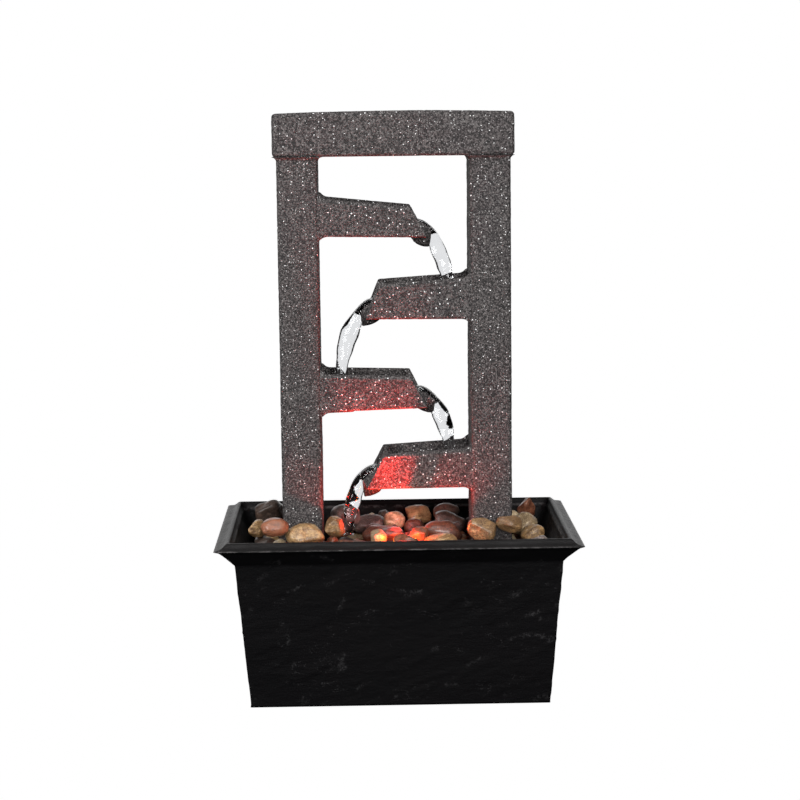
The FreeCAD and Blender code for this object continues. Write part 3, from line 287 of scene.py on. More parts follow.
def placeCamera():
    yaw, pitch, roll = camera["yaw"], camera["pitch"], camera["roll"]
    forward = Vector((math.sin(yaw) * math.cos(pitch), math.cos(yaw) * math.cos(pitch), -math.sin(pitch)))
    right = Vector((math.cos(yaw), -math.sin(yaw), 0))
    up = right.cross(forward)
    tiltedRight = math.cos(roll) * right - math.sin(roll) * up
    tiltedUp = math.sin(roll) * right + math.cos(roll) * up
    data = bpy.data.cameras.new("StudioCamera")
    data.lens = camera["lens"]
    data.sensor_width = 36
    data.clip_start = 0.05
    data.clip_end = 20
    made = addToScene("StudioCamera", data)
    turned = Matrix((tiltedRight, tiltedUp, -forward)).transposed().to_4x4()
    turned.translation = Vector(camera["at"]) * mm
    made.matrix_world = turned
    bpy.context.scene.camera = made


studio = {
    "floorRadius": 700,
    "floorGlow": 1.0,
    "backLight": 1.0,
    "roomLight": 0.2,
    "upperRoom": 0.25,
    "flagLight": 0.03,
}


def makeFloor():
    # a flat disc: rings of points about the centre, on the ground
    angles = np.linspace(0, 2 * math.pi, 96, endpoint=False)
    radii = np.linspace(studio["floorRadius"], 20, 12)
    flat = np.stack([np.cos(angles), np.sin(angles), 0 * angles], -1)
    floor = closedSkin("StudioFloor", radii[::-1, None, None] * flat[None] * np.array([1, 1, 0]))
    floor.data.flip_normals()
    paint = Paint("StudioFloorPaint")
    place = paint.place()
    grain = paint.noise(place, 40.0, 2.0)
    white = paint.mix(grain, (0.86, 0.86, 0.86, 1), (0.9, 0.9, 0.9, 1))
    shade = paint.node("ShaderNodeBsdfDiffuse", None, {"Color": white})
    glow = paint.node("ShaderNodeEmission", None, {"Color": (1, 1, 1, 1), "Strength": studio["floorGlow"]})
    lit = paint.node("ShaderNodeAddShader", None, {0: shade, 1: glow})
    seen = paint.node("ShaderNodeLightPath", out="Is Camera Ray")
    mixed = paint.node("ShaderNodeMixShader", None, {0: seen, 1: shade, 2: lit})
    floor.data.materials.append(paint.finish(mixed))


def makeRoom():
    # a white room that is brightest straight behind the fountain and dim overhead, with a dark flag either side
    world = bpy.data.worlds.new("StudioRoom")
    bpy.context.scene.world = world
    world.use_nodes = True
    paint = Paint("StudioRoom", world.node_tree)
    direction = paint.node("ShaderNodeTexCoord", out="Generated")
    across = paint.node("ShaderNodeSeparateXYZ", None, {"Vector": direction}, "X")
    back = Wire(paint, across.socket.node.outputs["Y"])
    rise = Wire(paint, across.socket.node.outputs["Z"])
    aside = abs(across)
    inFront = back.between(0.62, 0.82)
    flag = aside.between(0.5, 0.62) * (1 - aside.between(0.88, 0.96)) * back.between(-0.1, 0.1)
    level = studio["roomLight"] + (studio["backLight"] - studio["roomLight"]) * inFront
    level = level * (1 - flag) + flag * studio["flagLight"]
    level = level * (1 - rise.between(0.25, 0.6) * (1 - studio["upperRoom"]))
    seen = paint.node("ShaderNodeLightPath", out="Is Camera Ray")
    shown = paint.node("ShaderNodeBackground", None, {"Color": (1, 1, 1, 1), "Strength": 1.0})
    light = paint.node("ShaderNodeBackground", None, {"Color": (1, 1, 1, 1), "Strength": level})
    mixed = paint.node("ShaderNodeMixShader", None, {0: seen, 1: light, 2: shown})
    output = paint.tree.nodes.new("ShaderNodeOutputWorld")
    paint.tree.links.new(mixed.socket, output.inputs["Surface"])


def addLamp(name, kind, at, aim, power, size, colour=(1, 1, 1), **settings):
    # an area lamp's size is its width and height, any other lamp's its radius
    data = bpy.data.lights.new(name, kind)
    data.energy = power
    data.color = colour
    if kind == "AREA":
        data.shape = "RECTANGLE"
        data.size = size[0] * mm
        data.size_y = size[1] * mm
    else:
        data.shadow_soft_size = size * mm
    for key, value in settings.items():
        setattr(data, key, value)
    made = addToScene(name, data)
    made.location = Vector(at) * mm
    made.rotation_euler = (Vector(aim) - Vector(at)).to_track_quat("-Z", "Y").to_euler()
    made.visible_camera = False


softboxes = {
    # place, aim, watts, and width and height of each
    "TopSoftbox": ((-60, -420, 900), (0, 0, 130), 6.0, (700, 500)),
    "FrontSoftbox": ((300, -1000, 420), (0, 0, 170), 10.0, (520, 420)),
    "LeftSoftbox": ((-640, -700, 380), (0, 0, 170), 8.0, (400, 500)),
}


def makeLamps():
    for name, (at, aim, power, size) in softboxes.items():
        addLamp(name, "AREA", at, aim, power, size)


glow = {
    "lens": (2.5, -25.0, 76.0),
    "red": (1.0, 0.025, 0.015),
    "amber": (1.0, 0.2, 0.02),
    # colour, place, watts and radius of each small lamp between the stones
    "lamps": {
        "GlowUp": ("red", (2.5, -27, 82), 0.05, 5),
        "GlowUnder": ("red", (2.5, -4, 92), 0.02, 4),
        "FlameLeft": ("amber", (-7.0, -31, 82), 0.016, 2),
        "FlameRight": ("amber", (9.5, -29, 82), 0.012, 2),
    },
    # colour, place, aim, watts and cone angle of each beam that slips out between the stones
    "beams": [
        ("red", (-2, -33, 82), (-7, -17, 113), 0.75, 54),
        ("red", (6, -36, 82), (25, -17, 112), 1.0, 32),
        ("red", (-4, -33, 82), (-9, -16, 148), 1.4, 36),
        ("red", (0, -20, 86), (20, -14, 190), 0.7, 16),
        ("red", (-8, -30, 82), (-38, -10, 100), 0.25, 50),
        ("red", (12, -30, 82), (40, -8, 120), 0.25, 50),
    ],
}


def makeGlow():
    # the light's warm pool between the stones and its red wash up the tower
    for name, (colour, at, power, size) in glow["lamps"].items():
        addLamp(name, "POINT", at, (0, 0, 200), power, size, glow[colour])
    for number, (colour, at, aim, power, angle) in enumerate(glow["beams"]):
        addLamp("Beam%d" % number, "SPOT", at, aim, power, 1.5, glow[colour],
                spot_size=math.radians(angle), spot_blend=0.5)


# Basin.

basin = {
    # half width, half depth and height of each turn of the wall, bottom to rim
    "bottom": (73.9, 45.0, 1.2),
    "coveFoot": (79.8, 53.0, 73.9),
    "coveBend": (81.2, 54.6, 75.6),
    "tip": (89.3, 62.5, 82.6),
    "rim": (83.1, 56.5, 85.7),
    "inner": (82.0, 55.4, 85.7),
    "innerWallTop": (75.2, 48.5, 71.0),
    "innerFloor": (69.9, 41.0, 5.2),
    "core": (20.0, 12.0),
    "corner": 0.9,
    "innerCorner": 2.5,
    "terraces": 3.2,
    "stepHeight": 0.15,
    "ridge": 0.22,
    "standOut": 0.8,
    "grain": 0.05,
    "outlet": (50.0, 70.2, 3.9),
}


def ringTemplate(acrossX, acrossY, bend):
    # once round a rounded rectangle: where the corner's centre lies, from -1 to 1, and the direction from it
    sideX = np.linspace(-1, 1, acrossX, endpoint=False)
    sideY = np.linspace(-1, 1, acrossY, endpoint=False)
    quarter = np.linspace(0, math.pi / 2, bend, endpoint=False)
    one = np.ones
    centreX = [one(acrossY), one(bend), -sideX, -one(bend), -one(acrossY), -one(bend), sideX, one(bend)]
    centreY = [sideY, one(bend), one(acrossX), one(bend), -sideY, -one(bend), -one(acrossX), -one(bend)]
    turns = [0 * sideY, quarter, 0 * sideX + math.pi / 2, quarter + math.pi / 2, 0 * sideY + math.pi,
             quarter + math.pi, 0 * sideX + 1.5 * math.pi, quarter + 1.5 * math.pi]
    angle = np.concatenate(turns)
    return np.concatenate(centreX), np.concatenate(centreY), np.cos(angle), np.sin(angle)


def ring(template, halfWidth, halfDepth, height, corner):
    # points of a rounded rectangle at one height
    centreX, centreY, outX, outY = template
    x = centreX * (halfWidth - corner) + corner * outX
    y = centreY * (halfDepth - corner) + corner * outY
    return np.stack([x, y, 0 * x + height], -1)


def wallLine(start, end, count):
    share = np.linspace(0, 1, count, endpoint=False)[:, None]
    return np.array(start) * (1 - share) + np.array(end) * share


def rivenRelief(points):
    # slate: a slanting smooth field cut into terraces, each a small cliff, with long chipped ridges and fine grain
    slant = points @ np.array([[0.92, 0.0, 0.39], [0.0, 1.0, 0.0], [-0.39, 0.0, 0.92]]).T
    slant = slant * np.array([0.4, 0.7, 1.0])
    field = layered(slant, 26.0, 3, 4) * basin["terraces"]
    level = np.floor(field)
    climb = np.clip((field - level) / 0.1, 0, 1)
    climb = climb * climb * (3 - 2 * climb)
    ridged = 1 - np.abs(layered(slant * np.array([0.6, 1.0, 1.0]), 15.0, 17, 3))
    grain = layered(points, 2.4, 11, 2)
    depth = (level + climb + basin["terraces"] + 1) * basin["stepHeight"] + (grain + 1) * basin["grain"]
    depth = depth + (1 - np.clip((ridged - 0.82) / 0.18, 0, 1)) * basin["ridge"]
    edge = 4 * climb * (1 - climb) + np.exp(-((field - level - 0.14) / 0.04) ** 2)
    return depth, np.clip(edge, 0, 1)


def makeBasin():
    # a wall profile, carried round rounded rectangles that grow and shrink with it, then let into the slate relief
    template = ringTemplate(150, 96, 4)
    bottom = np.array(basin["bottom"])
    underside = wallLine((*basin["core"], bottom[2]), bottom, 8)
    outerWall = wallLine(bottom, basin["coveFoot"], 64)
    cove = wallLine(basin["coveFoot"], basin["coveBend"], 3)
    flare = wallLine(basin["coveBend"], basin["tip"], 9)
    bevel = wallLine(basin["tip"], basin["rim"], 8)
    land = wallLine(basin["rim"], basin["inner"], 2)
    slope = wallLine(basin["inner"], basin["innerWallTop"], 14)
    innerWall = wallLine(basin["innerWallTop"], basin["innerFloor"], 34)
    floor = wallLine(basin["innerFloor"], (*basin["core"], basin["innerFloor"][2]), 8)
    profile = np.concatenate([underside, outerWall, cove, flare, bevel, land, slope, innerWall, floor])
    corners = np.full(len(profile), basin["corner"])
    corners[-len(floor) - len(innerWall) - len(slope):] = basin["innerCorner"]
    rows = np.stack([ring(template, *place, corner) for place, corner in zip(profile, corners)])
    depth, edge = rivenRelief(rows)
    # the outer wall's size is taken at the middle of its relief, so the relief stands both ways from it
    outerCount = len(underside) + len(outerWall) + len(cove)
    depth[len(underside):outerCount] -= basin["standOut"]
    depth[outerCount:outerCount + len(flare)] -= basin["standOut"] * np.linspace(1, 0, len(flare))[:, None]
    # the relief fades out at the tip, the land and the underside, whose sizes are fixed
    height = profile[:, 2]
    fixed = np.exp(-((height - basin["tip"][2]) / 1.2) ** 2) + np.exp(-((height - basin["rim"][2]) / 1.0) ** 2)
    fixed = fixed + np.exp(-((height - bottom[2]) / 0.8) ** 2)
    free = 1 - np.clip(fixed, 0, 1)[:, None]
    rows = rows - faceDirections(rows) * (depth * free)[..., None]
    piece = closedSkin("Basin", rows)
    # painted highlight: how near a point is to the tip, where a lighter line is painted along the tip edge
    nearTip = np.exp(-(np.abs(height - basin["tip"][2]) / 0.4) ** 2)[:, None] * np.ones(rows.shape[1])
    # the bevel and the land: smoother, as cloths keep them, and painted a lighter grey as a painted sheen; half of
    # that just inside
    smoothAndSheen = np.zeros(rows.shape[:2])
    bevelStart = outerCount + len(flare)
    bevelEnd = bevelStart + len(bevel) + len(land)
    smoothAndSheen[bevelStart:bevelEnd] = 1.0
    smoothAndSheen[bevelEnd:bevelEnd + len(slope)] = 0.5
    for name, values in (("rivenEdge", edge * free), ("tipHighlight", nearTip), ("smoothAndSheen", smoothAndSheen)):
        addValues(piece, name, np.concatenate([values.ravel(), [0, 0]]))
    boreBasin(piece)
    return settle(piece, "fountain", "basin_resin", slatePaint(), "basin")


def boreBasin(piece):
    # the lead's outlet: a round plug along Y, taken out of the rear wall
    x, z, radius = basin["outlet"]
    angles = np.linspace(0, 2 * math.pi, 32, endpoint=False)
    depths = np.array([40.0, 60.0])
    rows = np.stack([
        x + radius * np.cos(angles)[None, :] + 0 * depths[:, None],
        depths[:, None] + 0 * angles[None, :],
        z - radius * np.sin(angles)[None, :] + 0 * depths[:, None],
    ], -1)
    plug = closedSkin("OutletPlug", rows)
    takeAway(piece, plug)


def takeAway(piece, tool):
    cut = piece.modifiers.new("Cut", "BOOLEAN")
    cut.operation = "DIFFERENCE"
    cut.object = tool
    cut.solver = "EXACT"
    bakeModifiers(piece)
    bpy.data.objects.remove(tool)


def bakeModifiers(piece):
    graph = bpy.context.evaluated_depsgraph_get()
    mesh = bpy.data.meshes.new_from_object(piece.evaluated_get(graph))
    piece.modifiers.clear()
    piece.data = mesh


def slatePaint():
    paint = Paint("SlateResin")
    place = paint.place()
    slanted = paint.place((0.3, 0.7, 1.0), (0, 0.45, 0))
    riven = paint.given("rivenEdge")
    tip = paint.given("tipHighlight")
    smoothAndSheen = paint.given("smoothAndSheen")
    broad = paint.noise(slanted, 30.0, 3.0)
    patches = paint.noise(place, 9.0, 3.0).between(0.5, 0.66)
    fine = paint.noise(place, 1.0, 3.0)
    veins = paint.noise(slanted, 7.0, 4.0, 0.55, 0.9)
    thin = (1 - abs(veins - 0.5).between(0.0, 0.007)) * paint.noise(place, 14.0, 2.0).between(0.52, 0.64)
    flecks = (1 - paint.cells(place, 2.2).between(0.0, 0.14)) * paint.noise(place, 18.0, 2.0).between(0.58, 0.7)
    # painted highlights: the terrace cliffs and thin streaks are lightened where ridges would catch light,
    # together with small lighter flecks
    litEdgesAndFlecks = riven * patches * 0.5 + thin * 0.6 + flecks * 0.2
    # painted highlight: a broken lighter line along the rim's tip edge
    shinySpots = tip * paint.noise(place, 5.0, 4.0, 0.7).between(0.42, 0.62)
    base = paint.mix(broad, tone(3, 3, 4), tone(9, 8, 9))
    # painted sheen: the bevel and the land are lightened towards grey, as where they catch the side light
    base = paint.mix(smoothAndSheen * broad.between(0.2, 0.6), base, tone(28, 27, 27))
    base = paint.mix(litEdgesAndFlecks * fine.between(0.4, 0.62), base, tone(58, 57, 58))
    base = paint.mix(shinySpots * 0.55, base, tone(96, 93, 93))
    rough = 0.52 + 0.2 * fine + 0.12 * broad - 0.34 * smoothAndSheen
    relief = paint.noise(slanted, 2.6, 5.0, 0.62)
    normal = paint.bump(relief + 0.35 * fine, 0.45)
    return paint.surface(Base_Color=base, Roughness=rough, Normal=normal, Specular_IOR_Level=0.06)


# Tower: two posts, a lintel and four troughs.

tower = {
    "postInner": 37.4,
    "postOuter": 57.4,
    "postHalfDepth": 18.0,
    "postFoot": 64.0,
    "postTop": 269.4,
    "postWall": 3.2,
    "corner": 1.6,
    "lintelHalfWidth": 59.3,
    "lintelHalfDepth": 20.0,
    "lintelTop": 290.7,
    "lintelRound": 1.9,
    "lintelCorner": 1.7,
    "lintelUneven": 0.22,
    "crown": 1.0,
    "innerFillet": 3.0,
    "outerFillet": 2.2,
    "frontFillet": 1.9,
    "sand": 0.14,
    "waviness": 0.24,
    "troughVoxel": 0.6,
    "troughEdge": 1.7,
    "troughFillet": 4.5,
    "troughLowerEdge": 1.3,
    "troughLower": 0.4,
    "rootDepth": 0.9,
}


def sandRelief(points):
    # depth of the cast sandstone skin about the mould's face: fine grains over a slow hand-made waviness
    grains = layered(points, 1.3, 21, 2)
    slow = layered(points, 24.0, 31, 2)
    return -grains * tower["sand"] - slow * tower["waviness"] * 0.5


def quarterFillet(distance, radius):
    # how far a hollow quarter round stands out at a distance from the corner it fills
    part = np.clip((radius - distance) / radius, 0, 1)
    return radius * (1 - np.sqrt(1 - part ** 2))


def makePost(name, side, node):
    # a rounded rectangle carried up, spreading in a hollow fillet below the lintel, then down inside as the bore
    template = ringTemplate(16, 30, 5)
    middle = side * (tower["postInner"] + tower["postOuter"]) / 2
    halfWidth = (tower["postOuter"] - tower["postInner"]) / 2
    halfDepth = tower["postHalfDepth"]
    heights = np.concatenate([np.linspace(tower["postFoot"], tower["postTop"] - 5, 190, endpoint=False),
                              np.linspace(tower["postTop"] - 5, tower["postTop"], 14)])
    outer = np.stack([ring(template, halfWidth, halfDepth, height, tower["corner"]) for height in heights])
    out = np.stack([template[2], template[3], 0 * template[2]], -1)
    below = tower["postTop"] - heights[:, None]
    towardMiddle = np.clip(-side * template[2], 0, 1)[None, :]
    awayFromMiddle = np.clip(side * template[2], 0, 1)[None, :]
    spread = quarterFillet(below, tower["innerFillet"]) * towardMiddle
    spread = spread + quarterFillet(below, tower["outerFillet"]) * awayFromMiddle
    spreadY = quarterFillet(below, tower["frontFillet"]) * np.abs(template[3])[None, :]
    relief = sandRelief(outer + np.array([middle, 0, 0]))
    outer = outer - out * relief[..., None]
    outer[..., 0] += spread * np.sign(template[2])
    outer[..., 1] += spreadY * np.sign(template[3])
    innerHeights = np.linspace(tower["postTop"], tower["postFoot"] + 5, 24)
    wall = tower["postWall"]
    inner = np.stack([ring(template, halfWidth - wall, halfDepth - wall, height, 0.6) for height in innerHeights])
    rows = np.concatenate([outer, inner]) + np.array([middle, 0, 0])
    return settle(closedSkin(name, rows), "fountain", "tower_resin", sandPaint(), node)


def makeLintel():
    # a rounded rectangle carried along X, its ends drawn in by a quarter round, its top crowned and uneven
    template = ringTemplate(34, 18, 6)
    half, halfDepth = tower["lintelHalfWidth"], tower["lintelHalfDepth"]
    low, high = tower["postTop"], tower["lintelTop"]
    endRound = tower["lintelRound"]
    turn = np.linspace(0, math.pi / 2, 7)
    endX = half - endRound + endRound * np.cos(turn)
    endInset = endRound * (1 - np.sin(turn))
    straight = np.linspace(-half + endRound, half - endRound, 116)[1:-1]
    along = np.concatenate([-endX, straight, endX[::-1]])
    inset = np.concatenate([endInset, 0 * straight, endInset[::-1]])
    faces = np.linspace(0.06, 0.94, 9)
    rows = []
    for x, less in zip(along, inset):
        section = ring(template, halfDepth - less, (high - low) / 2 - less, 0, tower["lintelCorner"])
        rows.append(np.stack([section[:, 2] + x, section[:, 0], section[:, 1] + (low + high) / 2], -1))
    rows = np.stack(rows)
    centre = rows.mean(1, keepdims=True)
    firstFace = centre[:1] + (rows[:1] - centre[:1]) * faces[:, None, None]
    lastFace = centre[-1:] + (rows[-1:] - centre[-1:]) * faces[::-1, None, None]
    rows = np.concatenate([firstFace, rows, lastFace])
    share = np.clip((rows[..., 2] - low) / (high - low), 0, 1)
    crown = tower["crown"] * (1 - (rows[..., 0] / half) ** 2)
    uneven = tower["lintelUneven"] * (layered(rows * np.array([1.0, 0.3, 0.0]), 22.0, 41, 2) - 1)
    rows = rows - faceDirections(rows) * sandRelief(rows)[..., None]
    rows[..., 2] += share * (crown + uneven)
    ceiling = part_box("lintel")[1].z / mm
    rows[..., 2] = np.clip(rows[..., 2], low, ceiling)
    return settle(closedSkin("Lintel", rows), "fountain", "tower_resin", sandPaint(), "lintel")


def castCopy(name, node, voxel):
    # the CAD solid as one closed skin of even quads, its edges softened as a mould softens them
    shape = bmesh.new()
    shape.from_mesh(nodes[node].data)
    bmesh.ops.remove_doubles(shape, verts=shape.verts, dist=1e-6)
    mesh = bpy.data.meshes.new(name)
    shape.to_mesh(mesh)
    shape.free()
    piece = addToScene(name, mesh)
    remesh = piece.modifiers.new("Remesh", "REMESH")
    remesh.mode = "VOXEL"
    remesh.voxel_size = voxel * mm
    smooth = piece.modifiers.new("Smooth", "SMOOTH")
    smooth.factor = 0.5
    smooth.iterations = 3
    bakeModifiers(piece)
    piece.data.shade_smooth()
    return piece


def roundOff(moved, deep, tall, radius, up, where=True):
    # draws what stands outside a rounded edge in to it
    off = np.hypot(deep, tall)
    outside = where & (deep > 0) & (tall > 0) & (off > radius)
    share = np.where(outside, 1 - radius / np.maximum(off, 1e-6), 0)
    moved[:, 1] -= np.sign(moved[:, 1]) * deep * share
    moved[:, 2] += up * tall * share


def makeTrough(number):
    # the slanted end, notch and lip don't lie on one grid, so the cast copy is let into the relief point by point
    node, side = "trough_%d" % number, water[number]["side"]
    piece = castCopy("Trough%d" % number, node, tower["troughVoxel"])
    points = np.zeros(len(piece.data.vertices) * 3)
    out = np.zeros(len(points))
    piece.data.vertices.foreach_get("co", points)
    piece.data.vertices.foreach_get("normal", out)
    points = points.reshape(-1, 3) / mm
    out = out.reshape(-1, 3)
    low, high = (np.array(corner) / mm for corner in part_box(node))
    fromRoot = side * points[:, 0] + tower["postInner"]
    moved = points - out * sandRelief(points)[:, None]

    # the long upper edges are well rounded, along the rim's slope
    radius = tower["troughEdge"]
    rim = high[2] - np.clip(fromRoot, 0, None) * water[number]["fall"]
    deep = np.abs(moved[:, 1]) - (high[1] - radius)
    tall = moved[:, 2] - (rim - radius)
    roundOff(moved, deep, tall, radius, -1)

    # the lower edges less so, along the line through the underside's points
    radius = tower["troughLowerEdge"]
    flatUnder = (fromRoot > 1) & (fromRoot < 44) & (out[:, 2] < -0.9)
    tilt, start = np.polyfit(points[flatUnder, 0], points[flatUnder, 2], 1)
    deep = np.abs(moved[:, 1]) - (high[1] - radius)
    tall = start + tilt * points[:, 0] + radius - moved[:, 2]
    roundOff(moved, deep, tall, radius, 1, (fromRoot < 46) & (tall < radius + 1.5))

    # the root spreads in a hollow fillet above and below, and its end is let into the post to hide the joint line
    spread = quarterFillet(fromRoot, tower["troughFillet"])
    onTop = (out[:, 2] > 0.4) & (points[:, 2] > high[2] - 4)
    underneath = (out[:, 2] < -0.4) & (points[:, 2] < low[2] + 9) & (fromRoot < 8)
    lowest = (out[:, 2] < -0.5) & (points[:, 2] < low[2] + 3)
    moved[:, 2] += spread * onTop - spread * underneath - tower["troughLower"] * lowest
    moved[:, 0] -= side * tower["rootDepth"] * (fromRoot < 0.7)
    piece.data.vertices.foreach_set("co", (moved * mm).ravel())
    piece.data.update()
    return settle(piece, "fountain", "tower_resin", sandPaint(), node)


def sandPaint():
    made = bpy.data.materials.get("SpeckledSandstone")
    if made:
        return made
    paint = Paint("SpeckledSandstone")
    place = paint.place()
    patches = paint.noise(place, 15.0, 3.0)
    warm = paint.noise(place, 24.0, 2.0).between(0.45, 0.62)
    grain = paint.noise(place, 0.85, 2.0, 0.6)
    coarse = paint.noise(place, 1.7, 2.0, 0.6)
    base = paint.mix(patches, tone(40, 37, 37), tone(52, 48, 48))
    base = paint.mix(warm * 0.5, base, tone(48, 40, 41))
    base = paint.mix(grain.between(0.5, 0.62) * 0.85, base, tone(84, 80, 79))
    base = paint.mix(grain.between(0.38, 0.48), tone(16, 14, 14), base)
    base = paint.mix(coarse.between(0.36, 0.46), tone(22, 20, 20), base)
    crystal = speckles(paint, place, 1.0, 0.3, 0.5)
    glint = speckles(paint, place, 1.2, 0.17, 0.5)
    sparkle = speckles(paint, place, 1.9, 0.14, 0.5)
    base = paint.mix(crystal * 0.6, base, tone(122, 118, 117))
    base = paint.mix(glint * 0.8, base, tone(176, 173, 172))
    base = paint.mix(sparkle, base, tone(250, 250, 250))
    relief = grain + 0.5 * coarse + 0.6 * crystal + 0.6 * sparkle
    normal = paint.bump(relief, 0.3)
    rough = 0.74 - 0.35 * sparkle + 0.1 * grain
    return paint.surface(Base_Color=base, Roughness=rough, Normal=normal, Specular_IOR_Level=0.35)


def speckles(paint, place, size, radius, share):
    # round grains of mixed size, one in some of the cells of a random lattice
    lattice = paint.cells(place, size)
    colour = Wire(paint, lattice.socket.node.outputs["Color"])
    parts = paint.node("ShaderNodeSeparateColor", None, {"Color": colour}, "Red")
    second = Wire(paint, parts.socket.node.outputs["Green"])
    chosen = parts.between(1 - share - 0.02, 1 - share + 0.02)
    reach = radius * (0.45 + 0.75 * second)
    return chosen * (1 - (lattice - reach).between(-0.08, 0.08))


# Pebbles.

pebbles = {
    "swell": 1.05,
    "topHeight": 72.0,
    "fine": (30, 40),
    "coarse": (12, 18),
}


def solidsOf(node):
    # the solids of a CAD node: corners at one place are joined, and each solid's corners share their lowest number
    mesh = nodes[node].data
    points = np.zeros(len(mesh.vertices) * 3, np.float32)
    corners = np.zeros(len(mesh.loops), np.int64)
    mesh.vertices.foreach_get("co", points)
    mesh.loops.foreach_get("vertex_index", corners)
    points = points.reshape(-1, 3)
    bits = points.view(np.int32).astype(np.int64)
    primes = np.array([73856093, 19349663, 83492791])
    keys = (bits * primes).sum(1)
    unique, first, place = np.unique(keys, return_index=True, return_inverse=True)
    triangles = place[corners].reshape(-1, 3)
    labels = np.arange(len(unique))
    while True:
        lowest = labels[triangles].min(1)
        spread = labels.copy()
        np.minimum.at(spread, triangles.ravel(), np.repeat(lowest, 3))
        spread = spread[spread]
        if (spread == labels).all():
            break
        labels = spread
    points = points[first].astype(float) / mm
    return [points[labels == label] for label in np.unique(labels)]


def stoneAxes(points):
    # centre, axes and radii of the ellipsoid through a stone's points, from the best quadratic form
    centre = (points.min(0) + points.max(0)) / 2
    x, y, z = (points - centre).T
    terms = np.stack([x * x, y * y, z * z, 2 * x * y, 2 * x * z, 2 * y * z], -1)
    a, b, c, d, e, f = np.linalg.lstsq(terms, np.ones(len(terms)), rcond=None)[0]
    size, axes = np.linalg.eigh(np.array([[a, d, e], [d, b, f], [e, f, c]]))
    return centre, axes, 1 / np.sqrt(np.maximum(size, 1e-6))


def ballGrid(rings, spokes):
    # directions from the centre of a ball, row by row from pole to pole, the poles themselves left to the caps
    height = np.linspace(0, math.pi, rings + 2)[1:-1][:, None]
    angle = np.linspace(0, 2 * math.pi, spokes, endpoint=False)[None, :]
    return np.stack([np.sin(height) * np.cos(angle), np.sin(height) * np.sin(angle),
                     -np.cos(height) + 0 * angle], -1)


def pebbleShape(directions, random):
    # a ball squared off by a power, planed by soft facets, swollen and dented by smooth fields
    power = random.uniform(1.9, 3.0)
    reach = (np.abs(directions) ** power).sum(-1) ** (-1 / power)
    softness = 0.024
    for facet in range(random.integers(5, 11)):
        normal = random.normal(size=3)
        normal = normal / np.linalg.norm(normal)
        facing = directions @ normal
        plane = random.uniform(0.62, 0.92) / np.maximum(facing, 0.05)
        reach = -softness * np.logaddexp(-reach / softness, -np.minimum(plane, 3.0) / softness)
    shift = random.uniform(0, 50, 3)
    reach = reach * (1 + 0.12 * cloud(directions + shift, 0.9, 5) + 0.045 * cloud(directions + shift, 0.36, 6)
                     + 0.018 * cloud(directions + shift, 0.15, 7))
    return directions * reach[..., None]


def makePebbles(name, node, body, slot, paint, seed):
    random = np.random.default_rng(seed)
    points, faces, place, tint = [], [], [], []
    count = 0
    for stone in solidsOf(node):
        centre, axes, radii = stoneAxes(stone)
        if np.linalg.det(axes) < 0:
            axes[:, 0] = -axes[:, 0]
        seen = centre[2] + radii.min() > pebbles["topHeight"]
        rings, spokes = pebbles["fine"] if seen else pebbles["coarse"]
        rows = pebbleShape(ballGrid(rings, spokes), random)
        ball = skinPoints(rows)
        ball = ball / np.abs(ball).max(0) * pebbles["swell"]
        local = ball * radii
        points.append(centre + local @ axes.T)
        place.append(local + random.uniform(-400, 400, 3))
        tint.append(np.full(len(ball), random.uniform()))
        faces += skinFaces(rings, spokes, count)
        count += len(ball)
    piece = newPiece(name, np.concatenate(points), faces)
    addValues(piece, "stonePlace", np.concatenate(place))
    addValues(piece, "stoneTint", np.concatenate(tint))
    return settle(piece, body, slot, paint, node)


def stonePaint(name, colours, bandSize, bandShare, freckle):
    # a wet river stone: three clouded colours, swirled bands, thin pale veins, freckles, and a film of water
    paint = Paint(name)
    dark, middle, light, band = (tone(*colour) for colour in colours)
    place = paint.place(attribute="stonePlace")
    tint = paint.given("stoneTint")
    broad = paint.noise(place, 8.0, 3.0, 0.6, 0.8)
    small = paint.noise(place, 2.2, 4.0, 0.68, 0.5)
    fine = paint.noise(place, 0.6, 3.0, 0.6)
    base = paint.mix((broad + 0.4 * tint - 0.2).between(0.38, 0.6), dark, middle)
    base = paint.mix((small + 0.34 * tint - 0.17).between(0.46, 0.66), base, light)
    swirl = paint.noise(paint.place((0.3, 0.5, 1.0), attribute="stonePlace"), bandSize, 3.0, 0.5, 2.2)
    stripe = abs(swirl - 0.5).between(0.02, 0.07)
    base = paint.mix((1 - stripe) * bandShare * broad.between(0.35, 0.6), base, band)
    veins = paint.noise(place, 7.0, 2.0, 0.4, 1.0)
    vein = (1 - abs(veins - 0.46).between(0.004, 0.014)) * tint.between(0.45, 0.6)
    base = paint.mix(vein * 0.5, base, light)
    spots = paint.cells(place, 1.4)
    base = paint.mix((1 - spots.between(0.12, 0.3)) * small.between(0.42, 0.58) * freckle, base, dark)
    base = paint.mix(fine.between(0.38, 0.62) * 0.3, base, light)
    base = paint.mix((1 - fine.between(0.3, 0.44)) * 0.4, base, dark)
    rough = 0.3 + 0.34 * small
    coat = 0.2 + 0.6 * broad.between(0.42, 0.58)
    normal = paint.bump(small + 0.7 * fine, 0.32)
    return paint.surface(Base_Color=base, Roughness=rough, Coat_Weight=coat, Coat_Roughness=0.14,
                         Coat_IOR=1.33, Normal=normal, Specular_IOR_Level=0.4)


stones = {
    # dark, middle, light and band colour, then the bands' size and strength and how freckled it is
    "tan": (((76, 52, 32), (126, 95, 60), (168, 137, 96), (62, 38, 20)), 7.0, 0.6, 0.6),
    "cream": (((106, 84, 60), (150, 126, 94), (194, 174, 140), (84, 58, 34)), 8.0, 0.45, 0.6),
    "brown": (((38, 29, 25), (68, 52, 44), (98, 79, 68), (32, 24, 20)), 6.0, 0.5, 0.4),
    "red": (((52, 26, 18), (92, 50, 34), (128, 80, 56), (40, 20, 14)), 6.0, 0.6, 0.4),
    "grey": (((50, 43, 41), (80, 69, 65), (112, 99, 93), (40, 33, 31)), 7.0, 0.45, 0.5),
}


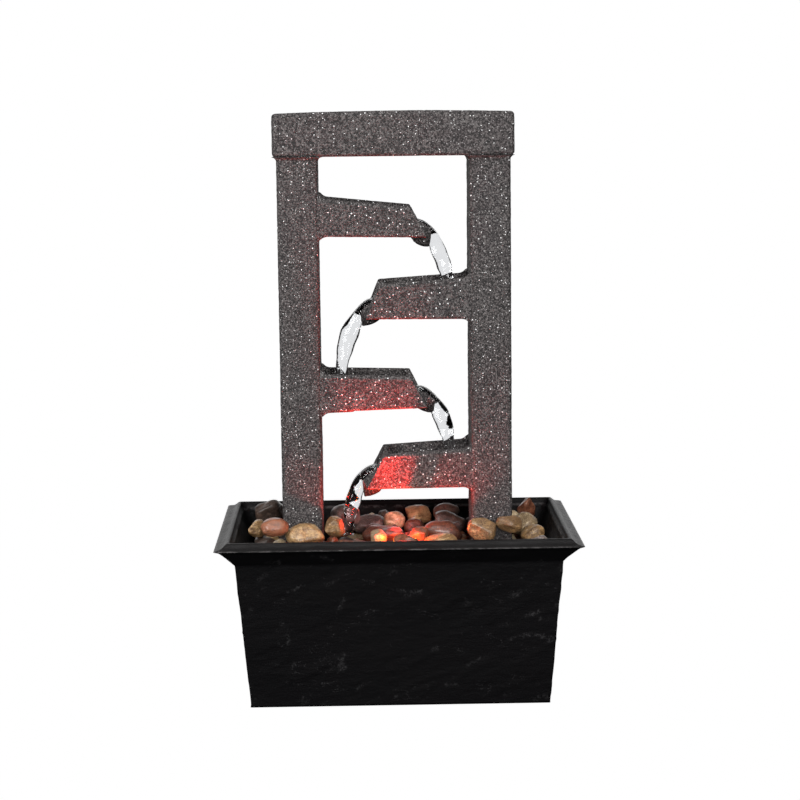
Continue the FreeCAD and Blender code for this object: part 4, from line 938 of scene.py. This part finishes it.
def makeBed():
    for number, (kind, looks) in enumerate(stones.items()):
        paint = stonePaint("RiverStone" + kind.title(), *looks)
        makePebbles("Pebbles" + kind.title(), "pebbles_" + kind, "fountain", "stone_" + kind, paint, 11 + number)
        makePebbles("LidPebbles" + kind.title(), "lid_pebbles_" + kind, "lid", "stone_" + kind, paint, 31 + number)
        print("stones:", kind)


# Water.

water = {
    # side it falls to, slope of the trough's rim, floor, surface and end of the water in the channel, then the
    # middle of the falling water, from the channel to where it lands, and its half thickness
    1: {
        "side": 1, "fall": 0.103, "floor": 234.5, "level": 238.2, "end": 8.4,
        "path": [(7.0, 236.8), (13.2, 235.2), (18.9, 229.6), (22.0, 222.6), (24.9, 215.0), (26.6, 207.6),
                 (27.2, 200.0)],
        "thick": [1.2, 2.5, 3.1, 3.9, 3.6, 2.6, 2.0],
        "twist": 0.2,
    },
    2: {
        "side": -1, "fall": 0.062, "floor": 194.2, "level": 198.6, "end": 7.6,
        "path": [(6.6, 197.0), (12.4, 195.6), (18.0, 189.8), (22.6, 181.2), (25.4, 172.0), (27.2, 162.0),
                 (27.6, 153.4)],
        "thick": [1.2, 2.7, 3.3, 4.7, 3.7, 2.5, 2.1],
        "twist": 0.3,
    },
    3: {
        "side": 1, "fall": 0.027, "floor": 149.8, "level": 153.8, "end": 7.2,
        "path": [(7.0, 152.6), (13.4, 151.2), (19.2, 145.6), (22.9, 138.6), (25.7, 130.0), (27.2, 121.0),
                 (27.8, 112.4)],
        "thick": [1.2, 2.6, 3.2, 4.2, 3.5, 2.4, 2.0],
        "twist": -0.3,
    },
    4: {
        "side": -1, "fall": 0.059, "floor": 109.2, "level": 113.4, "end": 7.2,
        "path": [(6.0, 112.4), (12.0, 111.4), (17.6, 106.6), (20.6, 100.2), (22.6, 93.4), (24.2, 86.0),
                 (24.6, 78.5)],
        "thick": [1.2, 2.6, 3.2, 3.6, 3.9, 3.2, 2.8],
        "broad": [6.8, 6.6, 5.4, 4.6, 4.2, 3.8, 3.4],
        "twist": 0.5,
    },
    # half width along Y where a stream has no row of its own, and how strongly ripples swell it
    "broad": [6.8, 6.6, 5.4, 4.4, 3.6, 3.0, 2.6],
    "ripple": 0.12,
}


def smoothPath(knots, share):
    # a curve through evenly spaced knots: cubic Hermite pieces whose tangents are the central differences
    knots = np.asarray(knots, float)
    knots = knots[:, None] if knots.ndim == 1 else knots
    tangents = np.gradient(knots, axis=0)
    at = np.clip(share, 0, 1) * (len(knots) - 1)
    piece = np.minimum(at.astype(int), len(knots) - 2)
    t = (at - piece)[:, None]
    start, end = knots[piece], knots[piece + 1]
    return (start * (2 * t ** 3 - 3 * t ** 2 + 1) + tangents[piece] * (t ** 3 - 2 * t ** 2 + t)
            + end * (3 * t ** 2 - 2 * t ** 3) + tangents[piece + 1] * (t ** 3 - t ** 2))


def makeStream(number):
    # an oval section carried along the falling arc, turning a little as it falls, with ripples running down it
    look = water[number]
    share = np.linspace(0, 1, 90)
    path = smoothPath(look["path"], share)
    thick = smoothPath(look["thick"], share)[:, 0]
    broad = smoothPath(look.get("broad", water["broad"]), share)[:, 0]
    ahead = np.gradient(path, axis=0)
    ahead = ahead / np.linalg.norm(ahead, axis=1, keepdims=True)
    outward = np.stack([look["side"] * -ahead[:, 1], 0 * share, ahead[:, 0]], -1)
    centre = np.stack([look["side"] * path[:, 0], 0 * share, path[:, 1]], -1)
    sideways = np.stack([0 * share, np.ones_like(share), 0 * share], -1)
    angle = np.linspace(0, 2 * math.pi, 40, endpoint=False)
    turned = angle[None, :] + look["twist"] * share[:, None] ** 2
    falling = np.clip((share - 0.25) / 0.75, 0, 1)[:, None]
    wave = 1 + water["ripple"] * falling * np.sin(2 * angle[None, :] + 9 * share[:, None] + number)
    wave = wave + 0.6 * water["ripple"] * falling * np.sin(17 * share[:, None] * (1 + share[:, None]) + number)
    across = np.cos(turned) * thick[:, None] * wave
    wide = np.sin(turned) * broad[:, None] * wave
    rows = centre[:, None] + outward[:, None] * across[..., None] + sideways[:, None] * wide[..., None]
    if look["side"] > 0:
        rows = rows[:, ::-1]
    piece = closedSkin("Stream%d" % number, rows)
    return settle(piece, "fountain", "water", waterPaint(), "water_stream_%d" % number)


def makePool(number):
    # a slab of water in the channel: shrinking copies of its outline, flat below and rippled above
    look = water[number]
    side, end, root = look["side"], look["end"], tower["postInner"] - 0.4
    halfDepth, dropX = 14.5, -28
    x = np.linspace(-root, end, 60)
    y = np.linspace(-halfDepth, halfDepth, 40)
    between = y[1:-1]
    outlineX = np.concatenate([x, 0 * between + end, x[::-1], 0 * between - root])
    outlineY = np.concatenate([0 * x + y[0], between, 0 * x + y[-1], between[::-1]])
    below = [0.02, 0.3, 0.6, 0.85, 1.0]
    shares = np.concatenate([below, np.linspace(1, 0.03, 24)])[:, None]
    px = outlineX * shares + (1 - shares) * (end - root) / 2
    py = outlineY * shares
    away = np.hypot(px - dropX, py)
    wave = 0.35 * np.sin(away * 1.5) * np.exp(-away / 14)
    wave = wave + 0.12 * layered(np.stack([px, py, 0 * px], -1), 9.0, 61 + number, 2)
    above = np.arange(len(shares))[:, None] >= len(below)
    rows = np.stack([side * px, py, np.where(above, look["level"] + wave, look["floor"])], -1)
    if side < 0:
        rows = rows[:, ::-1]
    return settle(closedSkin("Pool%d" % number, rows), "fountain", "water", waterPaint())


def waterPaint():
    made = bpy.data.materials.get("FallingWater")
    if made:
        return made
    paint = Paint("FallingWater")
    place = paint.place()
    ripple = paint.noise(place, 4.0, 2.0)
    base = paint.mix(ripple, (0.74, 0.75, 0.77, 1), (0.83, 0.84, 0.85, 1))
    normal = paint.bump(ripple, 0.25)
    return paint.surface(Base_Color=base, Roughness=0.0, IOR=1.333, Transmission_Weight=1.0, Normal=normal)


# The smaller parts, which keep their CAD shapes.

def mouldedPaint(name, dark, light, rough, grain, depth, streaks=0.0, **more):
    # plastic or rubber: a faint clouding, a spark-eroded or flow-marked skin, and handling marks in the gloss
    paint = Paint(name)
    place = paint.place()
    cloudy = paint.noise(place, 14.0, 3.0)
    skin = paint.noise(place, grain, 3.0, 0.6)
    drawn = paint.noise(paint.place((0.12, 1.0, 1.0)), 1.4, 3.0)
    shinySpots = paint.noise(place, 5.0, 4.0).between(0.52, 0.7)
    dark, light = tone(*dark), tone(*light)
    base = paint.mix(cloudy, dark, light)
    base = paint.mix(skin.between(0.55, 0.75) * 0.25, base, light)
    gloss = rough + 0.14 * skin - 0.1 * shinySpots
    normal = paint.bump(skin + streaks * drawn, depth)
    return paint.surface(Base_Color=base, Roughness=gloss, Normal=normal, **more)


def steelPaint(name, dark, light, size, axis):
    # drawn metal: long fine scratches along one axis and small pits
    paint = Paint(name)
    stretch = [0.06 if number == axis else 1.0 for number in range(3)]
    drawn = paint.noise(paint.place(stretch), size, 4.0, 0.7)
    pits = 1 - paint.cells(paint.place(), 0.9).between(0.05, 0.2)
    base = paint.mix(drawn, tone(*dark), tone(*light))
    normal = paint.bump(drawn - 0.4 * pits, 0.06)
    return paint.surface(Base_Color=base, Metallic=1.0, Roughness=0.26 + 0.2 * drawn, Normal=normal)


def windingPaint():
    # enamelled copper laid turn beside turn: half-round ridges along the coil's axis
    paint = Paint("CopperWinding")
    place = paint.place()
    settings = {"bands_direction": "X", "wave_profile": "SIN"}
    turns = paint.node("ShaderNodeTexWave", settings, {"Vector": place, "Scale": 0.55, "Distortion": 0.4}, "Fac")
    shade = paint.noise(place, 3.0, 3.0)
    base = paint.mix(shade, tone(120, 56, 26), tone(190, 104, 56))
    # painted shade: the grooves between the turns are darkened
    base = paint.mix((1 - turns.between(0.0, 0.4)) * 0.7, base, tone(50, 22, 12))
    return paint.surface(Base_Color=base, Metallic=0.8, Roughness=0.28 + 0.15 * shade,
                         Normal=paint.bump(turns, 0.2))


def vinylPaint():
    # soft clear hose, a little milky, with die lines along it
    paint = Paint("ClearHose")
    lines = paint.noise(paint.place((1.0, 1.0, 0.05)), 1.2, 3.0)
    base = paint.mix(lines, (0.78, 0.83, 0.82, 1), (0.9, 0.93, 0.92, 1))
    return paint.surface(Base_Color=base, Roughness=0.14 + 0.12 * lines, IOR=1.52, Transmission_Weight=0.8,
                         Normal=paint.bump(lines, 0.05))


def lensPaint():
    # frosted cap over the light, brightest over the three diodes
    paint = Paint("FrostedLens")
    place = paint.place()
    frost = paint.noise(place, 1.0, 3.0)
    away = paint.node("ShaderNodeVectorMath", {"operation": "DISTANCE"},
                      {0: place, 1: glow["lens"]}, "Value")
    middle = 1 - away.between(2.0, 9.0)
    base = paint.mix(frost, tone(235, 150, 90), tone(255, 200, 150))
    shine = paint.mix(middle, (1.0, 0.10, 0.02, 1), (1.0, 0.36, 0.06, 1))
    return paint.surface(Base_Color=base, Roughness=0.4 + 0.2 * frost, Emission_Color=shine,
                         Emission_Strength=3.0, Normal=paint.bump(frost, 0.1))


def chipPaint():
    paint = Paint("LightChip")
    place = paint.place()
    dots = paint.cells(place, 0.8)
    base = paint.mix(dots, tone(255, 210, 90), tone(240, 170, 40))
    shine = paint.mix(dots, (1.0, 0.5, 0.15, 1), (1.0, 0.3, 0.05, 1))
    return paint.surface(Base_Color=base, Roughness=0.3 + 0.2 * dots, Emission_Color=shine,
                         Emission_Strength=2.0, Normal=paint.bump(dots, 0.05))


def paintSmallParts():
    black, soot = (16, 16, 17), (30, 30, 32)
    rubber = mouldedPaint("BlackRubber", (20, 20, 20), (34, 33, 32), 0.62, 0.8, 0.08)
    plastic = mouldedPaint("BlackPlastic", black, soot, 0.42, 0.5, 0.05)
    paints = {
        "rubber_feet": rubber,
        "cord_grommet": rubber,
        "suction_cups": mouldedPaint("CupRubber", (34, 34, 35), (58, 58, 58), 0.4, 1.4, 0.05),
        "deck_plate": mouldedPaint("DeckPlastic", black, (34, 33, 33), 0.5, 0.7, 0.08, 0.5),
        "access_lid": mouldedPaint("LidPlastic", black, (36, 35, 35), 0.46, 0.7, 0.08, 0.4),
        "post_screws": steelPaint("ScrewSteel", (120, 120, 122), (190, 190, 192), 0.5, 2),
        "supply_tube": vinylPaint(),
        "outlet_elbow": plastic,
        "pump_housing": mouldedPaint("PumpPlastic", (22, 24, 28), (44, 46, 50), 0.48, 0.45, 0.08),
        "pump_back_cover": mouldedPaint("PumpCover", (24, 26, 30), (48, 50, 54), 0.44, 0.45, 0.08),
        "impeller_cover": mouldedPaint("ImpellerCover", (26, 28, 32), (52, 54, 58), 0.4, 0.5, 0.06),
        "intake_cover": mouldedPaint("IntakePlastic", (20, 22, 26), (40, 42, 46), 0.46, 0.5, 0.08),
        "flow_dial": mouldedPaint("DialPlastic", (150, 152, 154), (186, 188, 190), 0.4, 0.6, 0.05),
        "stator_core": steelPaint("CoreSteel", (96, 98, 102), (150, 152, 156), 0.35, 1),
        "stator_coil": windingPaint(),
        "impeller": mouldedPaint("RotorPlastic", (196, 198, 200), (226, 228, 228), 0.36, 0.6, 0.04),
        "impeller_shaft": steelPaint("ShaftCeramic", (170, 170, 168), (214, 214, 212), 0.2, 0),
        "rotor_bushes": rubber,
        "led_housing": plastic,
        "led_board": mouldedPaint("BoardGreen", (18, 70, 40), (30, 96, 56), 0.36, 0.5, 0.04),
        "led_chips": chipPaint(),
        "led_lens": lensPaint(),
        "led_lead": mouldedPaint("LeadPlastic", (20, 20, 20), (36, 36, 36), 0.46, 0.9, 0.04),
    }
    for name, paint in paints.items():
        node = nodes[name]
        if not node.material_slots:
            node.data.materials.append(paint)
        for held in node.material_slots:
            held.material = paint
    print("small parts painted:", len(paints))


# The whole fountain.

bpy.context.scene.view_settings.view_transform = "Standard"
placeCamera()
makeFloor()
makeRoom()
makeLamps()
makeGlow()
print("studio ready")
makeBasin()
print("basin ready")
makePost("LeftPost", -1, "left_post")
makePost("RightPost", 1, "right_post")
makeLintel()
for number in (1, 2, 3, 4):
    makeTrough(number)
print("tower ready")
makeBed()
for number in (1, 2, 3, 4):
    makeStream(number)
    makePool(number)
print("water ready")
paintSmallParts()
